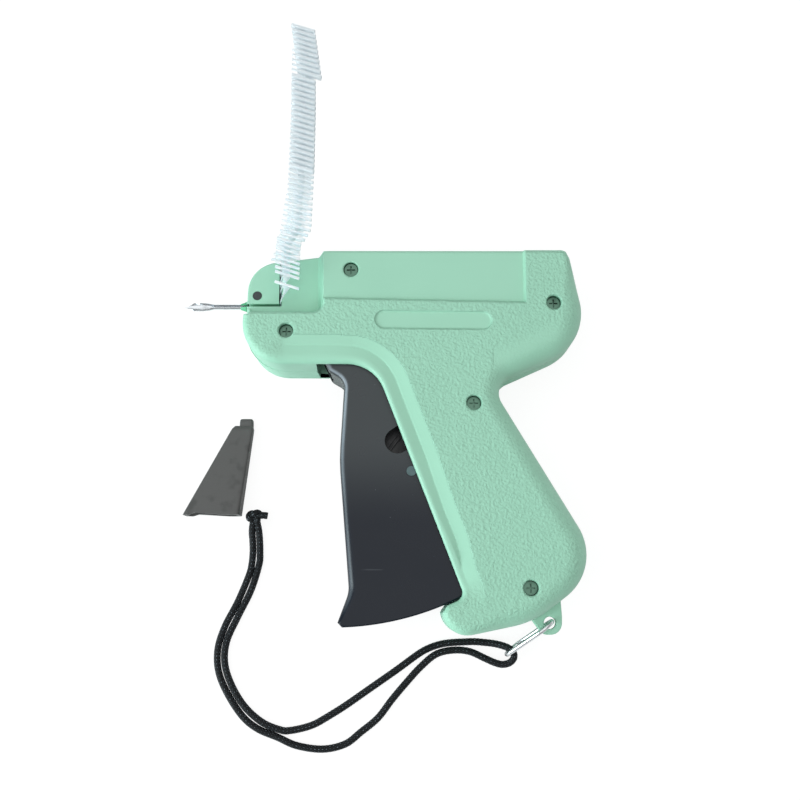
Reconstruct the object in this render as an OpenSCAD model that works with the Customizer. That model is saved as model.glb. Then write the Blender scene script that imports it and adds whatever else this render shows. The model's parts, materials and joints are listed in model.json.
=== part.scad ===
// Hand tagging gun lying on its rear side: the trigger drives an ejector rod through a hollow needle.
// X runs along the needle line towards the tail, Y up the body, Z out of the front face.
// The origin is on the trigger pivot's axis, at the flat rear face.

/* [Housing] */
// Thickness of the closed housing
body_t = 26; // [22:0.5:32]
// Height of the top edge above the trigger pivot
top_y = 31.2; // [30:0.1:40]
// Reach of the nose in front of the pivot
nose_x = 31.5; // [30:0.5:38]
// Distance of the lower nose edge below the pivot
belly_y = 8; // [7.5:0.5:10]
// Distance of the tail's widest point behind the pivot
tail_x = 82.6; // [76:0.2:100]
// Shell wall thickness
wall = 2; // [1.6:0.1:2.4]
// Depth of the recess round the feed slot, from the front face
recess_d = 8; // [6.5:0.5:8.5]
// Depth of the smooth upper panel
panel_d = 1; // [0.5:0.1:1.2]

/* [Trigger] */
// Distance of the trigger's lower edge from the pivot
grip_len = 93.3; // [78:0.1:112]
// Angle that the trigger turns in one squeeze
squeeze = 18; // [14:0.5:18]
// Clear space between the trigger and the inside of the housing, on each side
trigger_gap = 1; // [0.6:0.1:1.2]
// Wall of the trigger's channel
trigger_wall = 2.5; // [2:0.1:3]
// Radius of the trigger's pivot pin
pivot_r = 2; // [1.5:0.1:2.4]

/* [Drive] */
// Radius of the fixed post that the lever turns on
post_r = 3.8; // [3:0.05:4.6]
// Radius of the drive pin and the slide pin
drive_r = 1.6; // [1.2:0.05:2]
// Thickness of the lever
lever_t = 6; // [4:0.5:7.5]
// Travel of the ejector rod in one squeeze
stroke = 36; // [30:0.5:36]
// Radius of the ejector rod
rod_r = 0.5; // [0.4:0.02:0.6]

/* [Needle] */
// Height of the needle line above the pivot
needle_y = 14.7; // [14:0.1:15]
// Length of needle that stands out of the nose
needle_out = 21.8; // [16:0.2:28]
// Outer radius of the needle's shank
needle_r = 0.9; // [0.8:0.02:1.1]

/* [Fastener clip] */
// Number of fasteners on the clip
fasteners = 50; // [20:1:60]
// Distance from one fastener to the next
pitch = 1.92; // [1.6:0.05:2.4]
// Length of a cross bar and of a paddle
bar_len = 8.4; // [7.5:0.1:9.6]
// Length of a filament
filament_len = 14; // [8:0.1:20]

/* [Tether] */
// Diameter of the cord
cord_d = 2.4; // [2:0.1:2.6]
// Radius of the ring's wire
ring_wire_r = 0.75; // [0.6:0.05:0.9]
// Length of the needle guard
guard_len = 31; // [26:0.5:37]

/* [Hidden] */
$fn = 48;

mint = "#9fd4b8";
black = "#33373b";
steel = "#c9ced1";
nylon = "#dfeaf0";

// Clearances: a turning pin, a pressed pin, and faces that slide past each other
run = 0.05;
seat = 0.02;
pass = 0.3;
mid = body_t / 2;
skin = 2.2;
floor_z = skin;
roof_z = body_t - skin;
over = 1;

// Outline of the housing: corner X, corner Y, corner radius, shoulder radius
strap_slope = 0.385;
back_slope = 0.594;
waist_y = -14.3;
toe_y = 8.7 - grip_len;
heel_y = 18.8 - grip_len;
tail_shift = tail_x - 82.6;
function strap_x(y) = 12.8 + strap_slope * (-belly_y - y);
function back_x(y) = 43 + tail_shift / 2 - back_slope * y;
toe_x = strap_x(toe_y);
HOUSING = [
    [-nose_x, -belly_y, 14, 1.6],
    [12.8, -belly_y, 13, 1.2],
    [toe_x, toe_y, 2, 1.2],
    [toe_x - 7.4, toe_y - 3.2, 1.5, 1],
    [toe_x - 6.4, toe_y - 12.6, 8, 4],
    [toe_x + 21.6, toe_y - 7.1, 30, 6],
    [back_x(heel_y), heel_y, 17, 7],
    [back_x(waist_y), waist_y, 6.5, 6],
    [tail_x + 3.3, 0.9, 17, 7],
    [tail_x - 4.8, top_y, 3, 1.4],
    [-5, top_y, 40, 1.2],
    [9.5 - nose_x, top_y - 1.9, 9, 1.2],
    [0.2 - nose_x, top_y - 12.2, 9, 1.2]];
shoulder_z = 6.5;
shoulder_in = 4.6;

// Trigger at rest, with the hidden rear part inside the grip
trigger_lo = skin + trigger_gap;
trigger_hi = body_t - trigger_lo;
web_t = 3;
boss_r = 6.4;
post_reach = 39.3;
post_angle = -38.4;
drive_reach = 50.2;
drive_angle = -60;
post = post_reach * [cos(post_angle), sin(post_angle)];
drive = drive_reach * [cos(drive_angle), sin(drive_angle)];
slot_half = post_r + 0.4;
slot_wall = 2.2;
slot_spare = 2;
bottom_gap = 0.9;
function polar(r, a) = r * [cos(a), sin(a)];
// Corner whose rounding is centred on a point, between edges that face the two angles
function round_corner(centre, r, a0, a1) = centre + polar(r / cos((a1 - a0) / 2), (a0 + a1) / 2);
neck = [-1.3, -12.4];
neck_face = atan2(neck[1], neck[0]) + 360 - acos(boss_r / norm(neck));
arc_r = post_reach + slot_half + slot_wall;
TRIGGER_FRONT = [
    concat(neck, [3, 0.8]),
    [3.8, -14.6, 2.5, 2.2],
    [1.5, 0.1 - 0.425 * grip_len, 60, 3],
    [5, -0.88 * grip_len, 10, 3],
    [0, -grip_len - 2.6, 1, 0.8]];
TRIGGER = concat(
    [concat(round_corner([0, 0], boss_r, post_angle + 90, neck_face), [boss_r, 0.6])],
    TRIGGER_FRONT,
    [concat(polar(grip_len + 4.2, -59.5), [1, 0.6]),
     concat(polar(55, -50), [2, 0.6]),
     concat(polar(arc_r + 0.1, -48.5), [0.5, 0.4]),
     concat(round_corner([0, 0], arc_r, -46.5, post_angle), [arc_r, 0.6]),
     concat(round_corner(post, boss_r, post_angle, post_angle + 90), [boss_r, 0.6])]);
TRIGGER_SPACE = concat(
    [concat(neck + polar(50, neck_face - 90), [1, 0])],
    TRIGGER_FRONT,
    [[80, -grip_len - 2.6, 1, 0], [80, 40, 1, 0]]);

// Return spring between a rib of the trigger and a peg on the back strap
spring_at = [31, -63];
spring_dir = unit([0.815, 0.579]);
spring_r = 3.2;
spring_wire_r = 0.5;
spring_turns = 9;
rib_t = 2.5;
peg_r = 2.2;
peg_len = 3;
spring_wall_x = back_x(-39.5) - 3.6;

// Drive: the lever's turn and the slide's travel keep a steady ratio to the trigger's angle
lever_rise = needle_y - post[1];
lever_turn = 2 * atan(stroke / 2 / lever_rise);
slide_pin_x = post[0] + stroke / 2;
slide_pin_reach = norm([stroke / 2, lever_rise]);
hub_r = post_r + 3.6;
slot_gap = 0.15;
slide_drift = 0.45;
arm_wall = 2;
slide_w = 9.4;
slide_t = 13;
slide_front = slide_pin_x - 12.8;
slide_rear = slide_pin_x + 4.8;
slide_head = 5;
rail_w = 1.8;
rail_z = mid - lever_t / 2 - 0.8;
rail_front = slide_front - stroke - 1.5;
pad_z = mid - slide_t / 2 - pass;

// Screws that join the shells
screw_boss_r = 3.6;
screw_r = 1.5;
screw_head_r = 2.2;
screw_well_r = 2.45;
screw_head_z = body_t - 3.6;
screw_head_t = 1.7;
screw_tip_z = 4.5;
SCREWS = [[4.9, top_y - 6.8], [-16.4, 3], [tail_x - 9.9, 12.7], [back_x(-21.3) - 10.05, -21.3],
          [back_x(heel_y) - 24.4, heel_y - 6.5]];

// Feed: cross bars in the middle plane, the runner behind them, filaments out through the front
feed_x = 19.4;
bar_t = 0.8;
runner_w = 1.4;
runner_t = 1.2;
neck_w = 0.6;
runner_z = mid - bar_t / 2 - 1.1 - runner_t;
filament_t = 0.4;
slot_w = 0.9;
track_w = bar_len + 0.8;
track_z = mid + bar_t / 2 + 0.35;
track_low = needle_y - pitch - 0.8;
recess_z = body_t - recess_d;
recess_x = -4.2;
recess_y = 9.5;
block_x = recess_x - 8.4;
splay_z = recess_z + 0.4;
paddle_w = 1.1;
paddle_t = 2.4;
paddle_turn = -18;
bar_turn = -15;
bars_in_track = 9;
first_on_runner = 2;
feed_teeth = 14;
feed_r = feed_teeth * pitch / (2 * PI);
feed_y = needle_y + 3.5 * pitch;
feed_z = mid - 0.3 - feed_r;
tooth_tip_r = feed_r + 0.5;
tooth_root_r = feed_r - 0.75;
feed_hub_r = 1.3;
axle_r = 0.8;
disc_w = 1.2;
disc_in = runner_w / 2 + 0.5;
ratchet_x = 3.2 - feed_x;
ratchet_w = 1;
ratchet_r = tooth_root_r + 0.2;
pawl_arm = 8;
pawl_pin_r = 0.7;
pawl_angle = -106;
pawl_tip = [feed_y, feed_z] + polar(ratchet_r + 0.05, pawl_angle);
pawl_at = pawl_tip - [pawl_arm, -0.2];

// Needle, its base and the cam pin that locks it
needle_bore_r = rod_r + 0.1;
base_r = needle_r + 0.7;
base_rear = -feed_x - bar_len / 2 - 0.6;
collar_len = 2;
tip_x = -nose_x - needle_out;
lock = [4.2 - nose_x, needle_y + base_r + 0.95];
lock_r = 1.5;
lock_flat = 0.45;
lock_pocket_z = 4.2;
lock_arm = 7.4;

// Lug, ring, cord and guard
lug = [toe_x + 28, toe_y - 7.4];
lug_r = 3.8;
lug_hole_r = 2;
lug_t = 3;
ring_r = 4;
ring_run = 12.5;
ring_tilt = 38.7;
ring_heading = 217.5;
ring_start = [3.2, 12.6 + ring_wire_r - 0.75];
guard_tip = [-32.9, -56.4 + guard_len];
guard_lean = 9.6;
guard_wall = 1.3;
guard_mouth_w = 19.2;
guard_side = guard_tip[0] - guard_lean + guard_mouth_w / 2;
guard_hole_y = guard_tip[1] - guard_len + 2.2;

// The cord's centreline from the knot round the ring and back, laid by hand
CORD = [
    [-29, -59.6, 2.8], [-29, -61.4, 2.8], [-28.9, -65, 1.9], [-28.8, -69, 1.2], [-29, -73.5, 1.2],
    [-29.8, -78.5, 1.2],
    [-31.8, -83.4, 1.2], [-34.5, -88.6, 1.2], [-37.2, -94.2, 1.2], [-39.1, -100.4, 1.2], [-39.4, -107, 1.2],
    [-37.7, -113.4, 1.2], [-34.6, -119.4, 1.2], [-30.2, -124.8, 1.2], [-24.8, -128.2, 1.2],
    [-18.4, -130.2, 1.2], [-12, -132.4, 1.2], [-4.5, -133.6, 1.2], [2.4, -132.2, 1.2], [8, -128, 1.2],
    [13, -122.8, 1.2], [17.8, -117.6, 1.2], [22.6, -112.4, 1.2], [28.4, -107.4, 1.2], [35, -103.6, 1.2],
    [41.4, -103.2, 1.2], [47.4, -105.6, 1.2], [51, -107.7, 1.5], [54.2, -108.5, 1.9], [57.1, -108, 2.4],
    [59.2, -106.1, 2.8], [59.9, -103.4, 3.3], [58.9, -100.8, 3.65], [56.7, -99.2, 3.2], [53.8, -98.8, 2.5],
    [50.6, -98.9, 1.8], [46, -98.9, 1.3], [40.4, -99.1, 1.2], [34.4, -100, 1.2],
    [27.2, -103, 1.2], [19.6, -107.4, 1.2], [10.4, -114, 1.2], [2.8, -119.6, 1.2], [-3.4, -123, 1.2],
    [-9.3, -125.6, 1.2], [-15.6, -126.8, 1.2], [-21.8, -126.2, 1.2], [-27, -123.4, 1.2],
    [-31.2, -118.4, 1.2], [-34.8, -112.2, 1.2], [-36.5, -106.2, 1.2], [-36.2, -100.4, 1.2],
    [-34.2, -94.8, 1.2], [-31.6, -89.6, 1.2], [-29, -84.2, 1.2], [-26.9, -78.4, 1.2], [-26.2, -73.5, 1.2],
    [-26, -69, 1.2], [-26.1, -65, 1.9], [-26.2, -61.4, 2.8], [-26.2, -59.6, 2.8]];
knot_at = [-28.3, -56.8, 3.1];

// Outlines: each point carries its outward normal and its shoulder radius
function unit(v) = v / norm(v);
function place(v) = [v[0], v[1]];
function bend(a, b, c, r, s) =
    let (u = unit(a - b),
         w = unit(c - b),
         half = acos(u * w) / 2,
         centre = b + unit(u + w) * r / sin(half),
         from = b + u * r / tan(half) - centre,
         side = cross(b - a, c - b) > 0 ? 1 : -1,
         sweep = side * (180 - 2 * half),
         first = atan2(from[1], from[0]),
         steps = max(2, ceil(abs(sweep) / 11)))
    [for (i = [0:steps]) let (t = first + sweep * i / steps)
        [centre[0] + r * cos(t), centre[1] + r * sin(t), side * cos(t), side * sin(t), s]];
function traced(v) =
    let (n = len(v))
    [for (i = [0:n - 1])
        each bend(place(v[(i + n - 1) % n]), place(v[i]), place(v[(i + 1) % n]), v[i][2], v[i][3])];
function flat(points) = [for (p = points) place(p)];
function level(points, share, z, rise, more) =
    [for (p = points) let (d = p[4] * share + more) [p[0] - p[2] * d, p[1] - p[3] * d, z + p[4] * rise]];

// Ears cut off one by one turn an outline into triangles
function outside(p, a, b, c) =
    cross(b - a, p - a) < 0 || cross(c - b, p - b) < 0 || cross(a - c, p - c) < 0;
function ear_at(v, ring, i) =
    let (n = len(ring), a = v[ring[i % n]], b = v[ring[(i + 1) % n]], c = v[ring[(i + 2) % n]])
    cross(b - a, c - b) > 0.0001
        && min([for (k = [3:n - 1]) outside(v[ring[(i + k) % n]], a, b, c) ? 1 : 0]) == 1;
function next_ear(v, ring, i) = i >= len(ring) || ear_at(v, ring, i) ? i : next_ear(v, ring, i + 1);
function ears(v, ring, done) =
    len(ring) == 3 ? concat(done, [ring]) :
    let (n = len(ring), i = next_ear(v, ring, 0))
    ears(v, [for (k = [0:n - 2]) ring[(i + 2 + k) % n]],
         concat(done, [[ring[i % n], ring[(i + 1) % n], ring[(i + 2) % n]]]));

// Slab on a traced outline, its edges rounded by each point's shoulder radius.
// Its sides may run a little past both ends, to be cut flat.
module slab(points, z0, z1, round_low, round_high, past) {
    m = 4;
    steep = 90 * (m - 1) / m;
    more = past * cos(steep) / (1 - sin(steep));
    n = len(points);
    low = [for (k = [1:m]) let (a = 90 * k / m) level(points, 1 - sin(a), z0, 1 - cos(a), 0)];
    high = [for (k = [0:m - 1]) let (a = 90 * k / m) level(points, 1 - cos(a), z1, sin(a) - 1, 0)];
    rings = concat(round_low ? concat([level(points, 1, z0 - past, 0, more)], low)
                             : [level(points, 0, z0 - past, 0, 0)],
                   round_high ? concat(high, [level(points, 1, z1 + past, 0, more)])
                              : [level(points, 0, z1 + past, 0, 0)]);
    last = len(rings) - 1;
    cap = ears(flat(points), [for (i = [0:n - 1]) i], []);
    sides = [for (k = [0:last - 1]) for (i = [0:n - 1])
        let (a = k * n + i, b = k * n + (i + 1) % n)
        each [[a, a + n, b + n], [a, b + n, b]]];
    polyhedron([for (r = rings) each r],
               concat(cap, [for (t = cap) [last * n + t[0], last * n + t[2], last * n + t[1]]], sides));
}

// Tube of flat sides along a line of points that never runs upright
module tube(line, r, sides) {
    n = len(line);
    rings = [for (i = [0:n - 1])
        let (along = unit(line[min(i + 1, n - 1)] - line[max(i - 1, 0)]),
             across = unit(cross(along, [0, 0, 1])),
             up = cross(across, along))
        [for (k = [0:sides - 1]) let (a = 360 * (k + 0.5) / sides)
            line[i] + r * (across * cos(a) + up * sin(a))]];
    walls = [for (i = [0:n - 2]) for (k = [0:sides - 1])
        let (a = i * sides + k, b = i * sides + (k + 1) % sides)
        each [[a, b, b + sides], [a, b + sides, a + sides]]];
    polyhedron([for (r = rings) each r],
               concat([[for (k = [0:sides - 1]) sides - 1 - k]],
                      [[for (k = [0:sides - 1]) (n - 1) * sides + k]], walls));
}

// Slot that follows a line of points, with round ends
function slot_side(line, half, turn) = [for (i = [0:len(line) - 1])
    let (along = unit(line[min(i + 1, len(line) - 1)] - line[max(i - 1, 0)]))
    line[i] + half * [along[1], -along[0]] * turn];
function slot_end(line, half, from, to) =
    let (along = unit(to - from), first = atan2(-along[0], along[1]))
    [for (k = [1:7]) to + polar(half, first + 180 * k / 8)];
function slot_outline(line, half) =
    let (n = len(line))
    concat(slot_side(line, half, 1), slot_end(line, half, line[n - 2], line[n - 1]),
           [for (i = [n - 1:-1:0]) slot_side(line, half, -1)[i]],
           slot_end(line, half, line[1], line[0]));
module path_slot(line, half, z0, z1) {
    prism(slot_outline(line, half), z0, z1);
}

module upright(at, r, z0, z1) {
    translate([at[0], at[1], z0]) cylinder(r = r, h = z1 - z0);
}

module along_x(x0, x1, y, z, r) {
    translate([x0, y, z]) rotate([0, 90, 0]) cylinder(r = r, h = x1 - x0);
}

module box(x0, x1, y0, y1, z0, z1) {
    translate([x0, y0, z0]) cube([x1 - x0, y1 - y0, z1 - z0]);
}

module prism(points, z0, z1) {
    translate([0, 0, z0]) linear_extrude(height = z1 - z0) polygon(points);
}

// Space inside the shells, behind the nose block
module cavity(z0, z1, d) {
    intersection() {
        translate([0, 0, z0]) linear_extrude(height = z1 - z0)
            offset(delta = -d) polygon(flat(traced(HOUSING)));
        box(block_x, tail_x + 20, -grip_len - 20, top_y + 10, z0, z1);
    }
}

// Opening in the front strap and the belly that the trigger swings through
module trigger_mouth(z0, z1) {
    intersection() {
        upright([0, 0], grip_len + bottom_gap, z0, z1);
        prism([[-6.8, -2.5], [-6.8, -20], [-5, -grip_len - 8], [strap_x(toe_y) + 6, -grip_len - 8],
               [strap_x(toe_y) + 8, toe_y + 10], [20, -10], [15, -2.5]], z0, z1);
    }
}

module shell_bosses(z0, z1, near) {
    for (s = SCREWS) upright(s, screw_boss_r, z0, z1);
    upright([0, 0], 5, near[0], near[1]);
    upright(post, hub_r, near[0], near[1]);
}

module rails(z0, z1) {
    low = needle_y - slide_w / 2 - pass;
    high = needle_y + slide_w / 2 + pass;
    box(rail_front, slide_rear + 2.5, low - rail_w, low, z0, z1);
    box(rail_front, slide_rear + 2.5, high, high + rail_w, z0, z1);
}

module rail_pad(z0, z1) {
    box(rail_front, slide_rear + 2.5, needle_y - slide_w / 2 - 1, needle_y + slide_w / 2 + 1, z0, z1);
}

// Peg that holds the return spring on the back strap
spring_seat = [spring_wall_x, spring_at[1] + (spring_wall_x - spring_at[0]) * spring_dir[1] / spring_dir[0]];
spring_angle = atan2(spring_dir[1], spring_dir[0]);
spring_len = norm(spring_seat - spring_at) - rib_t / 2 - 1.2;
module spring_peg(z0, z1) {
    intersection() {
        translate([0, 0, z0]) linear_extrude(height = z1 - z0)
            offset(delta = -wall / 2) polygon(flat(traced(HOUSING)));
        translate([spring_seat[0], spring_seat[1], 0]) rotate([0, 0, spring_angle])
            box(-0.8, 12, -5, 5, z0, z1);
    }
}

// Spaces in the nose that the feed and the needle need, cut from both shells
module feed_track() {
    box(-feed_x - track_w / 2, -feed_x + track_w / 2, track_low, top_y + over,
        mid - bar_t / 2 - 0.35, track_z);
    box(-feed_x - runner_w / 2 - 0.3, -feed_x + runner_w / 2 + 0.3, -belly_y - over, top_y + over,
        runner_z - 0.3, mid);
    box(-feed_x - slot_w / 2, -feed_x + slot_w / 2, track_low, top_y + over, mid, body_t + over);
    box(-nose_x - over, -feed_x + slot_w / 2, needle_y - slot_w / 2, needle_y + slot_w / 2,
        mid, recess_z + over);
    along_x(-feed_x, block_x + over, needle_y, mid, rod_r + 0.2);
    along_x(base_rear - 0.2, -feed_x, needle_y, mid, rod_r + 0.2);
    along_x(-nose_x - over, base_rear - 0.1, needle_y, mid, base_r + seat);
    upright(lock, lock_r + run, 0, recess_z + over);
}

module rear_shell() {
    color(mint) difference() {
        union() {
            difference() {
                slab(traced(HOUSING), 0, mid, true, false, 0);
                cavity(floor_z, shoulder_z, shoulder_in);
                cavity(shoulder_z - 0.1, mid + over, wall);
                trigger_mouth(floor_z, mid + over);
            }
            intersection() {
                prism(flat(traced(HOUSING)), mid - 1, recess_z);
                box(-nose_x - over, -feed_x - slot_w / 2, needle_y + slot_w / 2, top_y + over,
                    mid - 1, recess_z);
            }
            shell_bosses(floor_z - 0.5, mid, [floor_z - 0.5, trigger_lo - pass]);
            rails(floor_z - 0.5, rail_z);
            rail_pad(floor_z - 0.5, pad_z);
            spring_peg(floor_z + 1.3, mid);
            prism(flat(traced([
                [lug[0] - 9, lug[1] + 9.4, 1, 1], [lug[0] - 5.6, lug[1] + 0.6, 2, 1],
                [lug[0] - 1, lug[1] - 2, 2, 1], [lug[0] + 5, lug[1] + 4, 2, 1],
                [lug[0] + 3.6, lug[1] + 9, 1, 1]])), mid - lug_t, mid);
            upright(lug, lug_r, mid - lug_t, mid);
        }
        feed_track();
        for (s = SCREWS) upright(s, screw_r + run, screw_tip_z - 0.4, mid + over);
        upright([0, 0], pivot_r + seat, skin / 2, mid + over);
        upright(post, post_r + seat, skin / 2, mid + over);
        along_x(-feed_x - disc_in - disc_w - 0.4, ratchet_x + ratchet_w + 0.4, feed_y, feed_z,
                tooth_tip_r + 0.4);
        box(-feed_x - disc_in - disc_w - 0.4, ratchet_x + ratchet_w + 0.4, feed_y - tooth_tip_r - 0.4,
            feed_y + tooth_tip_r + 0.4, feed_z, mid + 0.1);
        along_x(base_rear - 0.3, block_x - 0.4, feed_y, feed_z, axle_r + seat);
        box(ratchet_x - 0.4, ratchet_x + ratchet_w + 0.4, pawl_at[0] - 2.2, feed_y,
            pawl_at[1] - 2, mid + 0.1);
        along_x(ratchet_x - 1.4, ratchet_x + ratchet_w + 1.4, pawl_at[0], pawl_at[1], pawl_pin_r + seat);
        upright(lug, lug_hole_r, 0, mid + over);
        intersection() {
            upright(lock, lock_arm + 1.4, -over, lock_pocket_z);
            translate([lock[0], lock[1], -over]) linear_extrude(height = lock_pocket_z + over)
                polygon([[3.3, -3.3], [3.3, 12], [-12, 12], [-12, -3.3]]);
        }
    }
}

module front_shell() {
    pill_y = top_y - 24.6;
    color(mint) difference() {
        union() {
            difference() {
                slab(traced(HOUSING), mid, body_t, false, true, 0);
                difference() {
                    union() {
                        cavity(mid - over, body_t - shoulder_z, wall);
                        cavity(body_t - shoulder_z - 0.1, roof_z, shoulder_in);
                    }
                    box(-nose_x, recess_x + wall, recess_y - wall, top_y + over, recess_z - wall, body_t);
                }
                trigger_mouth(mid - over, roof_z);
            }
            shell_bosses(mid, roof_z + 0.5, [trigger_hi + pass, roof_z + 0.5]);
            rails(body_t - rail_z, roof_z + 0.5);
            rail_pad(body_t - pad_z, roof_z + 0.5);
            spring_peg(mid, roof_z - 1.3);
        }
        feed_track();
        prism(flat(traced([
            [-nose_x - 9, recess_y, 1, 1], [recess_x, recess_y, 3.5, 1],
            [recess_x, top_y + 9, 1, 1], [-nose_x - 9, top_y + 9, 1, 1]])), recess_z, body_t + over);
        box(-nose_x - over, -feed_x, needle_y, top_y + over, mid - over, body_t + over);
        prism([[recess_x - 1, 14.2], [63.4, 12.7], [63.4, top_y + 3], [recess_x - 1, top_y + 3]],
              body_t - panel_d, body_t + over);
        box(16.2, 48.8, pill_y - 3, pill_y + 3, body_t - 0.4, body_t + over);
        for (x = [16.2, 48.8]) upright([x, pill_y], 3, body_t - 0.4, body_t + over);
        for (s = SCREWS) {
            upright(s, screw_r + run, mid - over, body_t);
            upright(s, screw_well_r, screw_head_z, body_t + over);
        }
        upright([0, 0], pivot_r + seat, mid - over, body_t - skin / 2);
        upright(post, post_r + seat, mid - over, body_t - skin / 2);
        box(-feed_x - disc_in - disc_w - 0.4, ratchet_x + ratchet_w + 0.4, feed_y - tooth_tip_r - 0.4,
            feed_y + tooth_tip_r + 0.4, mid - over, mid + 0.6);
    }
}

// Cross-slotted screws, all alike
module housing_screws() {
    color(steel) for (s = SCREWS) difference() {
        union() {
            upright(s, screw_r, screw_tip_z, screw_head_z + 0.2);
            upright(s, screw_head_r, screw_head_z, screw_head_z + screw_head_t);
        }
        for (a = [0, 90]) translate([s[0], s[1], screw_head_z + screw_head_t - 0.9]) rotate([0, 0, a])
            translate([-1.4, -0.25, 0]) cube([2.8, 0.5, 2]);
    }
}

module arc_slot(r, half, from, to, z0, z1) {
    path_slot([for (i = [0:12]) polar(r, from + (to - from) * i / 12)], half, z0, z1);
}

module trigger() {
    web_lo = trigger_lo + trigger_wall;
    web_hi = trigger_hi - trigger_wall;
    color(black) difference() {
        union() {
            difference() {
                intersection() {
                    slab(traced(TRIGGER), trigger_lo, trigger_hi, true, true, 0.01);
                    upright([0, 0], grip_len, trigger_lo, trigger_hi);
                }
                intersection() {
                    translate([0, 0, web_lo]) linear_extrude(height = web_hi - web_lo)
                        offset(delta = -web_t) polygon(flat(traced(TRIGGER_SPACE)));
                    upright([0, 0], grip_len - web_t, 0, body_t);
                }
            }
            upright([0, 0], 4, trigger_lo + 1, web_lo + 2.5);
            upright([0, 0], 4, web_hi - 2.5, trigger_hi - 1);
            translate([spring_at[0], spring_at[1], 0]) rotate([0, 0, spring_angle])
                box(-rib_t / 2, rib_t / 2, -6, 6, web_lo - 0.5, web_hi + 0.5);
            translate([spring_at[0], spring_at[1], mid]) rotate([0, 0, spring_angle])
                along_x(0, rib_t / 2 + peg_len, 0, 0, peg_r);
        }
        upright([0, 0], pivot_r + run, 0, body_t);
        upright(drive, drive_r + seat, 0, body_t);
        arc_slot(post_reach, slot_half, post_angle, post_angle - squeeze - slot_spare, 0, body_t);
    }
}

module trigger_pivot_pin() {
    color(steel) upright([0, 0], pivot_r, skin / 2 + 0.1, body_t - skin / 2 - 0.1);
}

module lever_post() {
    color(black) upright(post, post_r, skin / 2 + 0.1, body_t - skin / 2 - 0.1);
}

module drive_pin() {
    color(steel) upright(drive, drive_r, trigger_lo, trigger_hi + 0.4);
}

// Points of a pin's path, seen from the turning lever and measured from its post
function turned(v, a) = [v[0] * cos(a) - v[1] * sin(a), v[0] * sin(a) + v[1] * cos(a)];
cam_steps = 12;
function drive_path() = [for (i = [0:cam_steps]) let (s = i / cam_steps)
    turned(turned(drive, squeeze * s) - post, -lever_turn * s)];

module actuating_lever() {
    half = drive_r + slot_gap;
    low_angle = atan2(drive[1] - post[1], drive[0] - post[0]) + 360;
    low_reach = norm(drive - post);
    high_angle = atan2(lever_rise, stroke / 2);
    high_r = half + slide_drift + arm_wall;
    high_end = polar(slide_pin_reach, high_angle);
    low_r = half + arm_wall + 0.6;
    outline = [
        concat(round_corner(high_end, high_r, high_angle - 90, high_angle), [high_r, 0]),
        concat(round_corner(high_end, high_r, high_angle, high_angle + 90), [high_r, 0]),
        concat(polar(hub_r + 0.7, high_angle + 96), [hub_r, 0]),
        concat(round_corner(polar(low_reach, low_angle), low_r, low_angle - 90, low_angle), [low_r, 0]),
        concat(round_corner(polar(low_reach, low_angle), low_r, low_angle, low_angle + 90), [low_r, 0]),
        concat(polar(hub_r + 0.7, high_angle - 84), [hub_r, 0])];
    color(steel) translate([post[0], post[1], mid - lever_t / 2]) difference() {
        prism(flat(traced(outline)), 0, lever_t);
        translate([0, 0, -over]) cylinder(r = post_r + run, h = lever_t + 2 * over);
        path_slot(drive_path(), half, -over, lever_t + over);
        path_slot([polar(lever_rise - 0.2, high_angle), polar(slide_pin_reach + 0.1, high_angle)],
                  half + slide_drift, -over, lever_t + over);
    }
}

// Coil spring from the trigger's rib to the peg on the back strap
module return_spring() {
    start = rib_t / 2 + 0.1 + spring_wire_r;
    rise = spring_len - 2 * spring_wire_r - 0.2;
    steps = spring_turns * 8;
    color(steel) translate([spring_at[0], spring_at[1], mid]) rotate([0, 0, spring_angle]) rotate([0, 90, 0])
        coil([for (i = [0:steps]) let (s = i / steps)
            [spring_r * cos(360 * spring_turns * s), spring_r * sin(360 * spring_turns * s),
             start + rise * s]],
            spring_wire_r);
}

// Round wire along a coil about the local Z axis
module coil(line, r) {
    n = len(line);
    rings = [for (i = [0:n - 1])
        let (out = unit([line[i][0], line[i][1], 0]),
             along = unit(line[min(i + 1, n - 1)] - line[max(i - 1, 0)]),
             up = cross(along, out))
        [for (k = [0:5]) line[i] + r * (out * cos(60 * k) + up * sin(60 * k))]];
    walls = [for (i = [0:n - 2]) for (k = [0:5])
        let (a = i * 6 + k, b = i * 6 + (k + 1) % 6)
        each [[a, b + 6, b], [a, a + 6, b + 6]]];
    polyhedron([for (r = rings) each r],
               concat([[for (k = [0:5]) k]], [[for (k = [0:5]) (n - 1) * 6 + 5 - k]], walls));
}

module slide() {
    gap = lever_t / 2 + pass;
    slot_end = slide_front + slide_head - 0.8;
    color(black) difference() {
        box(slide_front, slide_rear, needle_y - slide_w / 2, needle_y + slide_w / 2,
            mid - slide_t / 2, mid + slide_t / 2);
        box(slot_end, slide_rear + over, needle_y - slide_w, needle_y + slide_w,
            mid - gap, mid + gap);
        upright([slide_pin_x, needle_y], drive_r + seat, 0, body_t);
        along_x(slide_front - over, slot_end + over, needle_y, mid, rod_r + seat);
        upright([slide_front + slide_head / 2 - 0.4, needle_y], 1.25 + seat, mid + rod_r, body_t);
    }
}

module slide_pin() {
    color(steel) upright([slide_pin_x, needle_y], drive_r, mid - slide_t / 2, mid + slide_t / 2);
}

module ejector_rod() {
    color(steel) along_x(-feed_x + bar_len / 2 + 0.5, slide_front + slide_head - 1, needle_y, mid, rod_r);
}

module rod_clamp_screw() {
    at = [slide_front + slide_head / 2 - 0.4, needle_y];
    color(steel) difference() {
        upright(at, 1.25, mid + rod_r, mid + slide_t / 2);
        translate([at[0] - 1.5, at[1] - 0.2, mid + slide_t / 2 - 0.8]) cube([3, 0.4, 1]);
    }
}

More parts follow.
